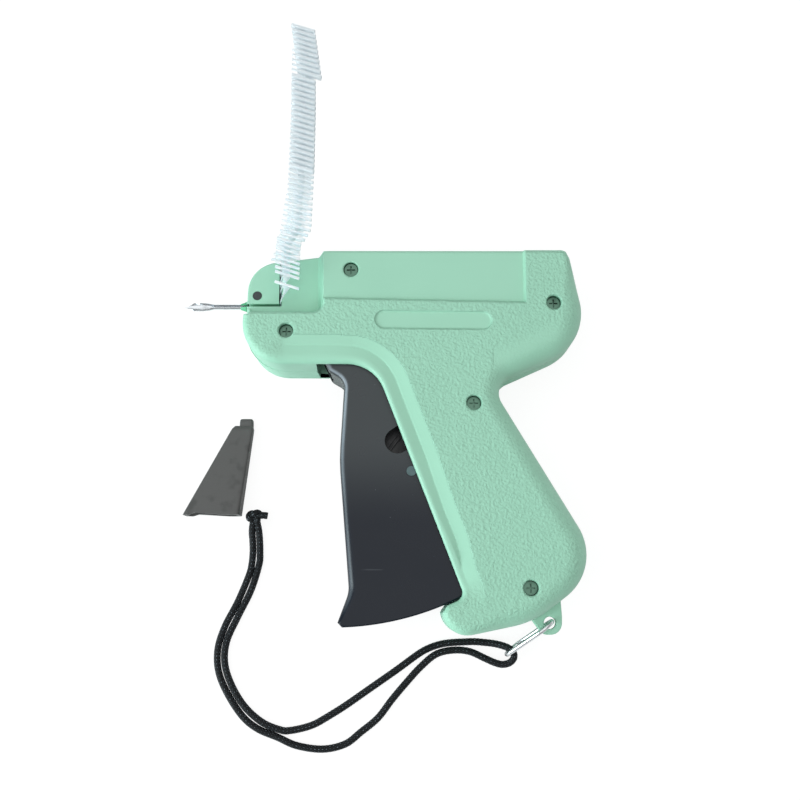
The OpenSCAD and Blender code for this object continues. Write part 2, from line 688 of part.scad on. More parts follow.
// Toothed discs either side of the runner, and a saw-toothed ratchet, on one hub
function toothed(root, tip, n, root_share, tip_share) = [
    for (i = [0:n - 1]) let (a = 360 * i / n, b = 180 / n)
        each [polar(root, a - b * root_share), polar(tip, a - b * tip_share),
              polar(tip, a + b * tip_share), polar(root, a + b * root_share)]];
function sawtooth(root, tip, n) = [for (i = [0:n - 1]) let (a = pawl_angle + 360 * i / n)
    each [polar(root, a + 1), polar(tip, a + 1 + 300 / n)]];

module disc(points, x, w) {
    translate([x, feed_y, feed_z]) rotate([90, 0, 90]) linear_extrude(height = w) polygon(points);
}

module feed_wheel() {
    teeth = toothed(tooth_root_r, tooth_tip_r, feed_teeth, 0.62, 0.22);
    turned_teeth = [for (p = teeth) turned(p, 90)];
    color(black) difference() {
        union() {
            along_x(-feed_x - disc_in - disc_w, ratchet_x + ratchet_w, feed_y, feed_z, feed_hub_r);
            disc(turned_teeth, -feed_x - disc_in - disc_w, disc_w);
            disc(turned_teeth, -feed_x + disc_in, disc_w);
            disc(sawtooth(ratchet_r - 0.6, ratchet_r, feed_teeth), ratchet_x, ratchet_w);
        }
        along_x(-feed_x - 10, ratchet_x + 5, feed_y, feed_z, axle_r + run);
    }
}

module feed_axle() {
    color(steel) along_x(base_rear - 0.1, block_x - 0.6, feed_y, feed_z, axle_r);
}

module feed_pawl() {
    color(steel) difference() {
        union() {
            along_x(ratchet_x, ratchet_x + ratchet_w, pawl_at[0], pawl_at[1], 1.3);
            translate([ratchet_x, 0, 0]) rotate([90, 0, 90]) linear_extrude(height = ratchet_w)
                polygon([pawl_at + [0, -1.2], pawl_tip + [-0.15, -0.9], pawl_tip + [-0.15, -0.1],
                         pawl_tip + [-2.4, 0], pawl_at + [0, 1.2]]);
        }
        along_x(ratchet_x - over, ratchet_x + ratchet_w + over, pawl_at[0], pawl_at[1], pawl_pin_r + run);
    }
}

module pawl_pin() {
    color(steel) along_x(ratchet_x - 1.2, ratchet_x + ratchet_w + 1.2, pawl_at[0], pawl_at[1], pawl_pin_r);
}

// Leaf spring that bears on the pawl from below
module pawl_spring() {
    low = pawl_at[1] - 2;
    color(steel) translate([ratchet_x + 0.1, 0, 0]) rotate([90, 0, 90])
        linear_extrude(height = ratchet_w - 0.2) polygon([
                 [pawl_at[0] - 1.6, low + 0.02], [pawl_at[0] + 3, low + 0.02],
                 [pawl_at[0] + 5.8, pawl_at[1] - 1.3], [pawl_at[0] + 5.4, pawl_at[1] - 1.25],
                 [pawl_at[0] + 2.8, low + 0.3], [pawl_at[0] - 1.6, low + 0.3]]);
}

module needle() {
    leaf = [[tip_x, 0], [tip_x + 2, -0.75], [tip_x + 6.3, -1.3], [tip_x + 10.6, -needle_r + 0.1],
            [tip_x + 10.6, needle_r - 0.1], [tip_x + 6.3, 1.3], [tip_x + 2, 0.75]];
    color(steel) difference() {
        union() {
            along_x(tip_x + 9, base_rear - 0.2, needle_y, mid, needle_r);
            translate([0, needle_y, mid]) prism(leaf, -0.9, 0.5);
        }
        along_x(tip_x - over, base_rear + over, needle_y, mid, needle_bore_r);
        box(tip_x - over, base_rear + over, needle_y - 0.3, needle_y + 0.3, mid, mid + 2);
    }
}

module needle_base() {
    color(mint) difference() {
        union() {
            along_x(-nose_x, base_rear - 0.1, needle_y, mid, base_r);
            translate([-nose_x - collar_len, needle_y, mid]) rotate([0, 90, 0])
                cylinder(r1 = needle_r + 0.15, r2 = base_r + 0.1, h = collar_len - 0.1);
            along_x(-nose_x - 0.1, -nose_x + 0.1, needle_y, mid, base_r);
        }
        along_x(-nose_x - 4, base_rear + over, needle_y, mid, needle_r + seat);
        box(-nose_x - 4, base_rear + over, needle_y - 0.3, needle_y + 0.3, mid, mid + 3);
        upright(lock, lock_r + 0.1, 0, body_t);
    }
}

// Cam pin with a thumb lever in a pocket of the rear face
module needle_lock() {
    color(black) translate([lock[0], lock[1], 0]) difference() {
        union() {
            upright([0, 0], lock_r, lock_pocket_z - 1, recess_z);
            upright([0, 0], 2.8, 0.5, lock_pocket_z - 0.3);
            box(-1.6, 1.6, 0, lock_arm - 1.6, 0.5, lock_pocket_z - 0.3);
            upright([0, lock_arm - 1.6], 1.6, 0.5, lock_pocket_z - 0.3);
        }
        box(-3, -lock_flat, -3, 3, mid - base_r - 0.5, mid + base_r + 0.5);
    }
}

// Sideways bend of the free clip, and how far each paddle is to the right of its bar and above it, by height
// above the needle line
function clip_x(k) = -feed_x + lookup(k * pitch, [[bars_in_track * pitch, 0], [19.6, 1.1], [24.5, 2.3],
                                                  [42.3, 5.1], [66.3, 5.7], [120, 5.7]]);
function paddle_lean(k) = lookup(k * pitch, [[0, 3.3], [16.3, 3.5], [23.3, 4.9], [42.3, 2.5], [77, 1.9],
                                             [78, 4], [96, 1.4]]);
function paddle_up(k) = lookup(k * pitch, [[0, 3], [3.84, 2.7], [23, 0.2], [30, 0]]);

// One fastener: cross bar, filament bent by lean to the right and by up, and paddle
module tag_pin(turn, lean, up) {
    rise = filament_len - (splay_z - mid);
    reach = norm([lean, up, rise]);
    half_t = filament_t / 2;
    rotate([0, 0, turn])
        box(-bar_len / 2, bar_len / 2, -bar_t / 2, bar_t / 2, mid - bar_t / 2, mid + bar_t / 2);
    box(-half_t, half_t, -half_t, half_t, mid, splay_z + 0.1);
    translate([0, 0, splay_z]) rotate([-asin(up / reach), atan2(lean, rise), 0])
        box(-half_t, half_t, -half_t, half_t, 0, reach + 0.2);
    translate([lean, up, splay_z + rise]) rotate([0, 0, paddle_turn])
        box(-bar_len / 2, bar_len / 2, -paddle_w / 2, paddle_w / 2, 0, paddle_t);
}

// Fasteners that are still on the runner; the feed brings the lowest one closer by one pitch
module fastener_clip() {
    color(nylon) {
        for (k = [first_on_runner:fasteners]) translate([clip_x(k), needle_y + k * pitch, 0]) {
            tag_pin(k > bars_in_track + 1 ? bar_turn : 0, paddle_lean(k), paddle_up(k));
            box(-neck_w / 2, neck_w / 2, -bar_t / 4, bar_t / 4, runner_z + runner_t - 0.1, mid);
        }
        path_slot([for (k = [first_on_runner, bars_in_track, 10.5, 13, 17, 22, 34, fasteners])
            [clip_x(k), needle_y + k * pitch]], runner_w / 2, runner_z, runner_z + runner_t);
    }
}

// Fastener cut from the runner, in line with the rod that pushes it through the needle
module loaded_pin() {
    color(nylon) translate([-feed_x, needle_y, 0]) tag_pin(0, paddle_lean(0), paddle_up(0));
}

// Oblong wire ring through the lug, its lower end on the table
module strap_ring() {
    color(steel) translate([lug[0], lug[1], 0]) rotate([0, 0, ring_heading]) rotate([90, 0, 0])
        translate([ring_start[0], ring_start[1], 0]) rotate([0, 0, -ring_tilt]) {
            rotate([0, 0, 90]) rotate_extrude(angle = 180) translate([ring_r, 0]) circle(r = ring_wire_r);
            translate([ring_run, 0, 0]) rotate([0, 0, -90]) rotate_extrude(angle = 180)
                translate([ring_r, 0]) circle(r = ring_wire_r);
            for (y = [-ring_r, ring_r]) along_x(0, ring_run, y, 0, ring_wire_r);
        }
}

module tether_cord() {
    color(black) tube(CORD, cord_d / 2, 8);
}

// Overhand knot that gathers both ends of the cord, its cut tail beside it, one end let into the guard
module cord_knot() {
    color(black) difference() {
        union() {
            along_x(guard_side - guard_wall + 0.1, knot_at[0], guard_hole_y, knot_at[2], cord_d / 2);
            translate(knot_at) {
                rotate([78, 14, 24]) rotate_extrude() translate([1.75, 0]) circle(r = 1.3);
                rotate([96, -28, -20]) rotate_extrude() translate([1.75, 0]) circle(r = 1.3);
                translate([-0.7, 0.4, 0]) rotate([90, 0, 0]) cylinder(r = 1.5, h = 3.2);
                translate([2.1, 0.4, 0]) rotate([90, 0, 0]) cylinder(r = 1.5, h = 3.2);
                translate([1.6, -0.3, 0.2]) rotate([0, 94, 14]) cylinder(r = cord_d / 2, h = 4.4);
            }
        }
        box(knot_at[0] - 9, knot_at[0] + 9, CORD[0][1] - 9, CORD[0][1], -over, 20);
        box(knot_at[0] - 9, knot_at[0] + 9, CORD[0][1] - 9, CORD[0][1] + 9, -9, 0);
    }
}

// Hollow wedge cap that covers the needle, laid flat beside the gun
module guard_wedge(d, reach) {
    hull() {
        translate([guard_tip[0] - 3.5 + d, guard_tip[1] - 0.1 - d, d]) cube([7 - 2 * d, 0.1, 4.4 - 2 * d]);
        translate([guard_side - guard_mouth_w + d, guard_tip[1] - guard_len - reach, d])
            cube([guard_mouth_w - 2 * d, 0.1, 8.6 - 2 * d]);
    }
}

module needle_guard() {
    color(black) difference() {
        union() {
            guard_wedge(0, 0);
            box(guard_tip[0] - 1.4, guard_tip[0] + 3.3, guard_tip[1] - 1, guard_tip[1] + 2.6, 0.4, 3.8);
        }
        guard_wedge(guard_wall, 0.5);
        along_x(guard_side - guard_wall - 0.6, guard_side + 2, guard_hole_y, knot_at[2], cord_d / 2 + seat);
        translate([guard_tip[0] - 10.8, guard_tip[1] - guard_len - 14, -over]) cylinder(r = 15.2, h = 20);
    }
}

rear_shell();
front_shell();
housing_screws();
trigger();
trigger_pivot_pin();
actuating_lever();
lever_post();
drive_pin();
return_spring();
slide();
slide_pin();
ejector_rod();
rod_clamp_screw();
feed_wheel();
feed_axle();
feed_pawl();
pawl_pin();
pawl_spring();
needle();
needle_base();
needle_lock();
fastener_clip();
loaded_pin();
strap_ring();
tether_cord();
cord_knot();
needle_guard();
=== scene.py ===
"""Looks of a hand tagging gun: moulded shells, squeeze grip, tag pin clip, needle, tether and needle guard.

Lengths in the functions are millimetres in the part's own frame (X towards the tail, Y up the body, Z out of the
front face) and become metres when a mesh is made.
"""
import json
import math

import bpy
import numpy as np
from bpy.props import FloatProperty, FloatVectorProperty, IntProperty, PointerProperty
from bpy.types import Operator, Panel, PropertyGroup
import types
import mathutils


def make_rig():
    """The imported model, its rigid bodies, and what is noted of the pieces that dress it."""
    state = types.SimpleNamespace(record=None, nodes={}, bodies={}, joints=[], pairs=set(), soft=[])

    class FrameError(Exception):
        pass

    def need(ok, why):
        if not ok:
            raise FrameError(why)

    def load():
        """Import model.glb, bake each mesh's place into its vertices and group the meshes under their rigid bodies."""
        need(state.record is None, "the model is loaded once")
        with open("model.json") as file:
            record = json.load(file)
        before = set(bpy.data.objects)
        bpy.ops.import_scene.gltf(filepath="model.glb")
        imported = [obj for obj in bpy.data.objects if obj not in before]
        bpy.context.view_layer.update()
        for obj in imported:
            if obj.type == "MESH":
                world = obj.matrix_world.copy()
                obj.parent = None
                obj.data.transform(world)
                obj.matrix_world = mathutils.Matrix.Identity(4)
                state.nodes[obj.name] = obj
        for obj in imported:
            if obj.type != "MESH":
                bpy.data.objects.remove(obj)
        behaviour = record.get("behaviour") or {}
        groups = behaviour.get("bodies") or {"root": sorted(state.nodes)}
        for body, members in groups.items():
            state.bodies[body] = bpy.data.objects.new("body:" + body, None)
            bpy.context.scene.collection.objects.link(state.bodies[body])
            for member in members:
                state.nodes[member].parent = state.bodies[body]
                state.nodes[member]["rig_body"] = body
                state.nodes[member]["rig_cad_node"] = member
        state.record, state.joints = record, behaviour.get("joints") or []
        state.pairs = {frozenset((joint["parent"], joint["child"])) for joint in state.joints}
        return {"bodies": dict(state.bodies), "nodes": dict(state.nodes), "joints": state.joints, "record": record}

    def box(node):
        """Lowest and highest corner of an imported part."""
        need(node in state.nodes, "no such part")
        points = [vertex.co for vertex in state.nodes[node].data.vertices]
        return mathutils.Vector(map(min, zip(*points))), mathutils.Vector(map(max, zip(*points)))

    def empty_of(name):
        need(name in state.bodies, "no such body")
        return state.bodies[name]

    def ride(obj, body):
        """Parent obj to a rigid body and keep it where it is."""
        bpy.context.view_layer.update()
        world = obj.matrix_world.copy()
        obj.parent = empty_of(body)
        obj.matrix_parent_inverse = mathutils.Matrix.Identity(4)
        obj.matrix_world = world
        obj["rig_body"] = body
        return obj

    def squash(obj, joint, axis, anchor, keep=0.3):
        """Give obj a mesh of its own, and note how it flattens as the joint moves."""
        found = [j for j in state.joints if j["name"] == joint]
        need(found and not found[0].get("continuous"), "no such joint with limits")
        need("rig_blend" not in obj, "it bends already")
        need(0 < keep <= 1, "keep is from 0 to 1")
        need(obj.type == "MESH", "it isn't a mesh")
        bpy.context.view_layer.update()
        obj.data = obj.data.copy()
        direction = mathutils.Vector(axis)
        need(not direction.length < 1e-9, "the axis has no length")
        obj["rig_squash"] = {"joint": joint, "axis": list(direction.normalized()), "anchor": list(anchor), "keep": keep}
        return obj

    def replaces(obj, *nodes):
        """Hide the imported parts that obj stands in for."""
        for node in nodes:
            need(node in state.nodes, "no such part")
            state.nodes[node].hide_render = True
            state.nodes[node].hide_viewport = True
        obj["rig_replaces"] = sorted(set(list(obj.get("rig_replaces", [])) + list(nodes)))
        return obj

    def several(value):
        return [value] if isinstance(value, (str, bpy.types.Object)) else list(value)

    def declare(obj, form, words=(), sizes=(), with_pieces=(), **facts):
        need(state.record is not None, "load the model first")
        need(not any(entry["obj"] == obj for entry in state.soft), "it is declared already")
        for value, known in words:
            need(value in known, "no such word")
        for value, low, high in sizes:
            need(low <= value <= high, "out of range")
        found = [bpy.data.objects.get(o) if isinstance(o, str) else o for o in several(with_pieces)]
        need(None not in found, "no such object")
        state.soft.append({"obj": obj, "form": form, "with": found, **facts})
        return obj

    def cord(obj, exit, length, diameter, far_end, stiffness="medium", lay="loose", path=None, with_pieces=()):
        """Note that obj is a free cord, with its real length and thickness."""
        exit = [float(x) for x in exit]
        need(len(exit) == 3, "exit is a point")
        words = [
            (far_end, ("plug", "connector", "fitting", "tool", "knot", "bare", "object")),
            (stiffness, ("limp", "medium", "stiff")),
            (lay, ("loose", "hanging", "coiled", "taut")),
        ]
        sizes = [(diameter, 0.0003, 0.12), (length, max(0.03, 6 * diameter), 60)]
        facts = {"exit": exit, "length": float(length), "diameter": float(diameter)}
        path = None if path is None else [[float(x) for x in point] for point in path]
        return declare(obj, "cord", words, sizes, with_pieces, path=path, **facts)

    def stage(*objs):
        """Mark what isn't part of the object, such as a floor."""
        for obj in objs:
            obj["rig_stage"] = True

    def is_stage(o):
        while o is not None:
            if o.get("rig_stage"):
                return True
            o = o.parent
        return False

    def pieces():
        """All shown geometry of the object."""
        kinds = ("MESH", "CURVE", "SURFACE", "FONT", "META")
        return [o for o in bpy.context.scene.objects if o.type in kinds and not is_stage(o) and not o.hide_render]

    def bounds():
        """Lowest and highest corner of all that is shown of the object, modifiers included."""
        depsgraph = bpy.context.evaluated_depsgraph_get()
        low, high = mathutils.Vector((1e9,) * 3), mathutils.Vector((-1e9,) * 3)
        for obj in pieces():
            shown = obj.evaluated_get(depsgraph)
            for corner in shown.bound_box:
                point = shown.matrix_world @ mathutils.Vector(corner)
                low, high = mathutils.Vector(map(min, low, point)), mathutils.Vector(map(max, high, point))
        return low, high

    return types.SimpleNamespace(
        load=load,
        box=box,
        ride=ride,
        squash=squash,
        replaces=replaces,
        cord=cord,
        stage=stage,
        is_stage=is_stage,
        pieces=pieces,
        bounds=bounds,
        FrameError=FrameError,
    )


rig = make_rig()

bl_info = {
    "name": "Tagging gun looks",
    "version": (1, 0, 0),
    "blender": (4, 5, 0),
    "location": "View3D > Sidebar > Tagging gun",
    "description": "Builds the moulded shells, grip, clip, needle and tether of a hand tagging gun on its frame",
    "category": "Object",
}

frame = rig.load()
CAD_BOX = [[float(c) for c in corner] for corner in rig.bounds()]
MM = 0.001

# Corners of the housing's outline: X, Y, corner radius, shoulder radius
HOUSING = [
    (-31.5, -8, 14, 1.6), (12.8, -8, 13, 1.2), (42.3, -84.6, 2, 1.2), (34.9, -87.8, 1.5, 1), (35.9, -97.2, 8, 3),
    (63.9, -91.7, 30, 6), (87.25, -74.5, 17, 7), (51.5, -14.3, 6.5, 6), (85.9, 0.9, 17, 7), (77.8, 31.2, 3, 1.4),
    (-5, 31.2, 40, 1.2), (-22, 29.3, 9, 1.2), (-31.3, 19, 9, 1.2)]
# The same as it is moulded: the toe closer to the grip's arc, the nose one wide corner
MOULDED = (HOUSING[:2] + [(42.0, -83.95, 3, 1.2), (34.6, -87.15, 1.5, 1.2)] + HOUSING[4:-2]
           + [(-30.3, 28.0, 10.5, 1.2)])
# Lengths along that outline between which the grip's mouth is open
MOUTH = (33.0, 131.2)
# Z of the front face and of the parting line, half the gap there, and Z inside the two faces
FRONT, SEAM, SEAM_GAP, FRONT_INSIDE, REAR_INSIDE = 26.0, 13.0, 0.03, 23.8, 2.2
SCREWS = [(4.9, 24.4), (-16.4, 3), (72.7, 12.7), (45.6, -21.3), (62.85, -81)]
WELL_RADIUS, WELL_FLOOR = 2.45, 22.42
# Corners of the grid that the shells' faces are cut from
HOUSING_BOX = (-33, -99), (84, 33)
LUG_HOLE = np.array([70.3, -92.0])
# Z of the recess's floor, which is also the face of the raised quarter of the nose
NOSE_FACE = 18.0
# Needle line, and Z down to which the walls beside it reach
NEEDLE_Y, BESIDE_NEEDLE = 14.7, 13.75
# Lock of the needle, and its pocket in the rear face
LOCK, POCKET_RADIUS, POCKET_SIDE, POCKET_Z = np.array([-27.3, 17.25]), 8.8, 3.3, 4.2
# Corners of the squeeze grip's outline
GRIP = [
    (-17.16, 21.767, 6.4, 0.6), (-1.3, -12.4, 3, 0.8), (3.8, -14.6, 2.5, 2.2), (1.5, -39.552, 60, 3),
    (5, -82.104, 10, 3), (0, -95.9, 1, 0.8), (49.485, -84.009, 1, 0.6), (35.353, -42.132, 2, 0.6),
    (30.348, -34.302, 0.5, 0.4), (33.805, -30.922, 45.7, 0.6), (39.79, -23.371, 6.4, 0.6)]
# The grip's front edge as it is moulded
GRIP_FRONT = [(-2.2, -10.2, 1.5, 0.9), (2.95, -13.3, 4.5, 1.5), (1.5, -39.552, 60, 2.2)]
GRIP_REACH = 93.3
# The grip's two side faces, each with its Z and the way to its inside
GRIP_SIDES = ((22.8, -1.0), (3.2, 1.0))
SLOT_REACH, SLOT_HALF = 39.3, 4.2
DRIVE_PIN, DRIVE_PIN_HOLE = (25.1, -43.475), 1.68
# Centreline of the tether cord, from the knot round the strap ring and back
TETHER = [
    (-28.7, -57.8, 2.9), (-29.1, -61.4, 2.6), (-28.9, -64.8, 1.9), (-28.8, -68.5, 1.2), (-29.1, -72.8, 1.2),
    (-30.0, -76.6, 1.2), (-33.4, -85.1, 1.2), (-37.6, -93.5, 1.2), (-39.7, -100.8, 1.2), (-39.2, -108.1, 1.2),
    (-35.9, -115.4, 1.2), (-30.8, -122.5, 1.2), (-25.6, -126.5, 1.2), (-18.9, -129.2, 1.2), (-12.6, -131.8, 1.2),
    (-4.1, -132.9, 1.2), (3.3, -131.3, 1.2), (8.5, -127.5, 1.2), (14.1, -123.0, 1.2), (18.7, -117.2, 1.2),
    (23.4, -111.8, 1.2), (28.1, -106.8, 1.2), (33.3, -102.6, 1.2), (38.9, -101.2, 1.2), (44.6, -101.6, 1.2),
    (50.2, -104.0, 1.2), (53.0, -105.2, 1.3), (55.5, -105.8, 1.6), (57.8, -105.3, 2.1), (59.2, -103.9, 2.9),
    (59.3, -102.3, 3.8), (58.5, -101.1, 4.3), (57.2, -100.2, 3.9), (55.2, -99.5, 3.0), (52.9, -99.0, 2.1),
    (50.2, -98.7, 1.4), (46.5, -98.4, 1.2), (42.7, -98.5, 1.2), (38.9, -98.7, 1.2), (35.2, -99.2, 1.2),
    (31.4, -100.4, 1.2), (27.6, -102.4, 1.2), (20.1, -107.7, 1.2), (10.8, -114.0, 1.2), (3.1, -119.2, 1.2),
    (-3.2, -123.0, 1.2), (-6.9, -125.0, 1.2), (-10.6, -126.2, 1.2), (-14.8, -127.0, 1.2), (-17.9, -126.9, 1.2),
    (-24.1, -124.5, 1.2), (-30.1, -119.5, 1.2), (-34.7, -112.6, 1.2), (-37.2, -105.5, 1.2), (-36.8, -98.3, 1.2),
    (-33.4, -90.4, 1.2), (-29.1, -81.4, 1.2), (-26.6, -72.8, 1.2), (-26.4, -68.5, 1.2), (-26.5, -64.8, 1.9),
    (-26.8, -61.4, 2.6), (-27.6, -57.8, 2.9)]
KNOT_AT = (-28.3, -56.8, 3.1)


# ---------------------------------------------------------------- sizes and colours that a user may change

class GunSizes(PropertyGroup):
    """Sizes of the looks, in metres."""
    mesh_cell: FloatProperty(name="Mesh cell", description="Spacing of the points on the moulded faces",
                             default=0.00036, min=0.0002, max=0.001, unit='LENGTH', precision=5)
    grain_size: FloatProperty(name="Leather grain", description="Width of one pebble of the moulded grain",
                              default=0.00085, min=0.0004, max=0.003, unit='LENGTH', precision=5)
    grain_depth: FloatProperty(name="Grain depth", description="Depth of the moulded grain",
                               default=0.00016, min=0.0, max=0.0006, unit='LENGTH', precision=5)
    cord_radius: FloatProperty(name="Cord radius", description="Radius of the braided cord",
                               default=0.0012, min=0.0008, max=0.002, unit='LENGTH', precision=5)
    fasteners: IntProperty(name="Fasteners", description="Tag pins on the clip", default=50, min=10, max=50)


class GunColours(PropertyGroup):
    """Colours of the finishes."""
    mint: FloatVectorProperty(name="Housing", description="Mint housing plastic", subtype='COLOR', size=3,
                              min=0, max=1, default=(0.350, 0.668, 0.500))
    grip_black: FloatVectorProperty(name="Grip", description="Black grip plastic", subtype='COLOR', size=3,
                                    min=0, max=1, default=(0.030, 0.033, 0.037))
    guard_grey: FloatVectorProperty(name="Guard", description="Worn black plastic of the guard", subtype='COLOR',
                                    size=3, min=0, max=1, default=(0.082, 0.083, 0.081))
    cord_black: FloatVectorProperty(name="Cord", description="Cord yarn", subtype='COLOR', size=3, min=0, max=1,
                                    default=(0.004, 0.005, 0.006))
    nylon: FloatVectorProperty(name="Tag pins", description="Translucent tag pin nylon", subtype='COLOR', size=3,
                               min=0, max=1, default=(0.84, 0.94, 1.0))


def sizes():
    return bpy.context.scene.gun_sizes


def colours():
    return bpy.context.scene.gun_colours


# ---------------------------------------------------------------- shader nodes as expressions

def times(colour, share):
    """A colour times one number or three."""
    return tuple(float(c) for c in np.multiply(colour, share))


class Wire:
    """A socket of a finish; arithmetic on it adds Math nodes."""

    def __init__(self, finish, socket):
        self.finish, self.socket = finish, socket

    def math(self, operation, other, clamp=False):
        return self.finish.node('ShaderNodeMath', {'operation': operation, 'use_clamp': clamp}, {0: self, 1: other})

    def __add__(self, other): return self.math('ADD', other)
    def __mul__(self, other): return self.math('MULTIPLY', other)
    def __neg__(self): return self.math('MULTIPLY', -1.0)

    def step(self, low, high, to_low=0.0, to_high=1.0):
        """Rises smoothly from to_low at low to to_high at high."""
        return self.finish.node('ShaderNodeMapRange', {'interpolation_type': 'SMOOTHSTEP'},
                                {0: self, 1: low, 2: high, 3: to_low, 4: to_high})


class Finish:
    """Nodes of one material, or of the world, and the way to add to them."""

    def __init__(self, name, owner=None):
        self.material = owner or bpy.data.materials.new(name)
        self.material.use_nodes = True
        self.tree = self.material.node_tree
        self.tree.nodes.clear()

    def node(self, kind, settings=None, values=None, result=0):
        made = self.tree.nodes.new(kind)
        for key, value in (settings or {}).items():
            setattr(made, key, value)
        for key, value in (values or {}).items():
            if isinstance(value, Wire):
                self.tree.links.new(value.socket, made.inputs[key])
            else:
                made.inputs[key].default_value = value
        return Wire(self, made.outputs[result])

    def place(self, stretch=(1, 1, 1), turn=(0, 0, 0)):
        """Object coordinates in metres, stretched and turned."""
        coordinates = self.node('ShaderNodeTexCoord', result='Object')
        return self.node('ShaderNodeMapping', {}, {'Vector': coordinates, 'Rotation': turn, 'Scale': stretch})

    def noise(self, place, size, detail=2.0, roughness=0.5, distortion=0.0):
        """Soft noise whose lumps are about size metres wide."""
        return self.node('ShaderNodeTexNoise', {}, {'Vector': place, 'Scale': 1 / size, 'Detail': detail,
                                                    'Roughness': roughness, 'Distortion': distortion})

    def cells(self, place, size, feature='F1', **more):
        """Distance to the nearest of many scattered points, about size metres apart."""
        return self.node('ShaderNodeTexVoronoi', {'feature': feature}, {'Vector': place, 'Scale': 1 / size, **more})

    def blend(self, share, low, high):
        """Colour mix; low and high are colours or wires."""
        full = [c if isinstance(c, Wire) else (*c, 1) for c in (low, high)]
        return self.node('ShaderNodeMix', {'data_type': 'RGBA'}, {0: share, 6: full[0], 7: full[1]}, 2)

    def painted(self, name):
        """A number painted on the mesh's points."""
        return self.node('ShaderNodeAttribute', {'attribute_name': name}, {}, 'Fac')

    def bump(self, height, depth):
        return self.node('ShaderNodeBump', {}, {'Strength': 1.0, 'Distance': depth, 'Height': height})

    def up_the_body(self, place, low, high):
        """Rises from 0 to 1 between two places along Y, in metres."""
        return self.node('ShaderNodeSeparateXYZ', {}, {0: place}, 1).step(low, high)

    def end(self, surface, output='ShaderNodeOutputMaterial'):
        self.tree.links.new(surface.socket, self.tree.nodes.new(output).inputs['Surface'])
        return self.material

    def done(self, settings, **links):
        """Principled surface with plain settings and linked sockets; spaces in socket names are underscores."""
        values = dict(settings)
        values.update({key.replace('_', ' '): value for key, value in links.items()})
        return self.end(self.node('ShaderNodeBsdfPrincipled', {}, values))


# ---------------------------------------------------------------- outlines and cut grids

def smooth(value, low, high):
    """Smooth step from 0 at low to 1 at high."""
    t = np.clip((value - low) / (high - low), 0, 1)
    return t * t * (3 - 2 * t)


def turns(count, offset=0.0):
    """Angles of even steps round a circle."""
    return 2 * math.pi * (np.arange(count) + offset) / count


def rays(angles):
    return np.stack([np.cos(angles), np.sin(angles)], -1)


def unit(rows):
    return rows / np.linalg.norm(rows, axis=-1)[..., None]


def squared(value, power):
    """Cosine or sine pushed outwards: below a power of 1 a circle becomes a rounded rectangle."""
    return np.sign(value) * np.abs(value) ** power


def lifted(flat, z):
    """Flat points at one Z, or each at its own."""
    return np.hstack([flat, np.broadcast_to(z, len(flat))[:, None]])


def run_along(line):
    """Length run so far at each point of a closed line."""
    gap = np.linalg.norm(np.roll(line, -1, 0) - line, axis=1)
    return np.cumsum(gap) - gap


def rounded(corners, spacing=0.6, turn=4.0):
    """Closed line round the corners: an arc of each corner's radius, straight runs between.

    Rows hold X, Y, outward normal, shoulder and the length run so far.
    """
    corner = np.array([c[:2] for c in corners], float)
    before, after = np.roll(corner, 1, 0), np.roll(corner, -1, 0)
    rows = []
    for a, b, c, (_, _, radius, shoulder) in zip(before, corner, after, corners):
        u, w = unit(a - b), unit(c - b)
        half = math.acos(u @ w) / 2
        centre = b + unit(u + w) * radius / math.sin(half)
        start = b + u * radius / math.tan(half) - centre
        side = 1 if (b[0] - a[0]) * (c[1] - b[1]) - (b[1] - a[1]) * (c[0] - b[0]) > 0 else -1
        sweep = side * (math.pi - 2 * half)
        angle = math.atan2(start[1], start[0]) + sweep * np.linspace(0, 1, max(3, int(abs(sweep) * 57.3 / turn) + 2))
        ray = rays(angle)
        rows.append(np.hstack([centre + radius * ray, side * ray, np.full((len(ray), 1), shoulder)]))
    line = np.vstack(rows)
    following = np.roll(line, -1, 0)
    gap = np.linalg.norm(following[:, :2] - line[:, :2], axis=1)
    parts = np.maximum(1, (gap / spacing).astype(int))
    index = np.repeat(np.arange(len(line)), parts)
    first = np.repeat(np.cumsum(parts) - parts, parts)
    share = ((np.arange(len(index)) - first) / parts[index])[:, None]
    line = line[index] * (1 - share) + following[index] * share
    return np.hstack([line, run_along(line[:, :2])[:, None]])


def eased(shoulder):
    """Shoulders round a closed line, each the mean of its neighbours."""
    return np.mean([np.roll(shoulder, k) for k in range(-8, 9)], axis=0)


class Near:
    """Place on a line whose shoulder ends nearest to each point: depth inside it, foot, normal, other columns."""

    def __init__(self, line, points):
        ends = np.vstack([line, line[:1]])
        ends[-1, 5] = line[-1, 5] + np.linalg.norm(line[0, :2] - line[-1, :2])
        found = []
        for some in np.array_split(points, max(1, len(points) // 20000)):
            square = (some ** 2).sum(1)[:, None] + (line[:, :2] ** 2).sum(1) - 2 * some @ line[:, :2].T
            close = (np.sqrt(np.maximum(square, 0)) - line[:, 4]).argmin(1)
            choice = []
            for first in (close, (close - 1) % len(line)):
                a, b = ends[first], ends[first + 1]
                run = b[:, :2] - a[:, :2]
                share = np.clip(((some - a[:, :2]) * run).sum(1) / np.maximum((run ** 2).sum(1), 1e-12), 0, 1)
                row = a + share[:, None] * (b - a)
                choice.append(np.hstack([np.linalg.norm(some - row[:, :2], axis=1)[:, None], row]))
            row = np.where(choice[0][:, :1] - choice[0][:, 5:6] <= choice[1][:, :1] - choice[1][:, 5:6], *choice)
            row[:, 3:5] = unit(row[:, 3:5])
            row[:, 0] *= -np.sign(((some - row[:, 1:3]) * row[:, 3:5]).sum(1))
            found.append(row)
        rows = np.vstack(found)
        self.depth, self.foot, self.out = rows[:, 0], rows[:, 1:3], rows[:, 3:5]
        self.shoulder, self.run = rows[:, 5], rows[:, 6]


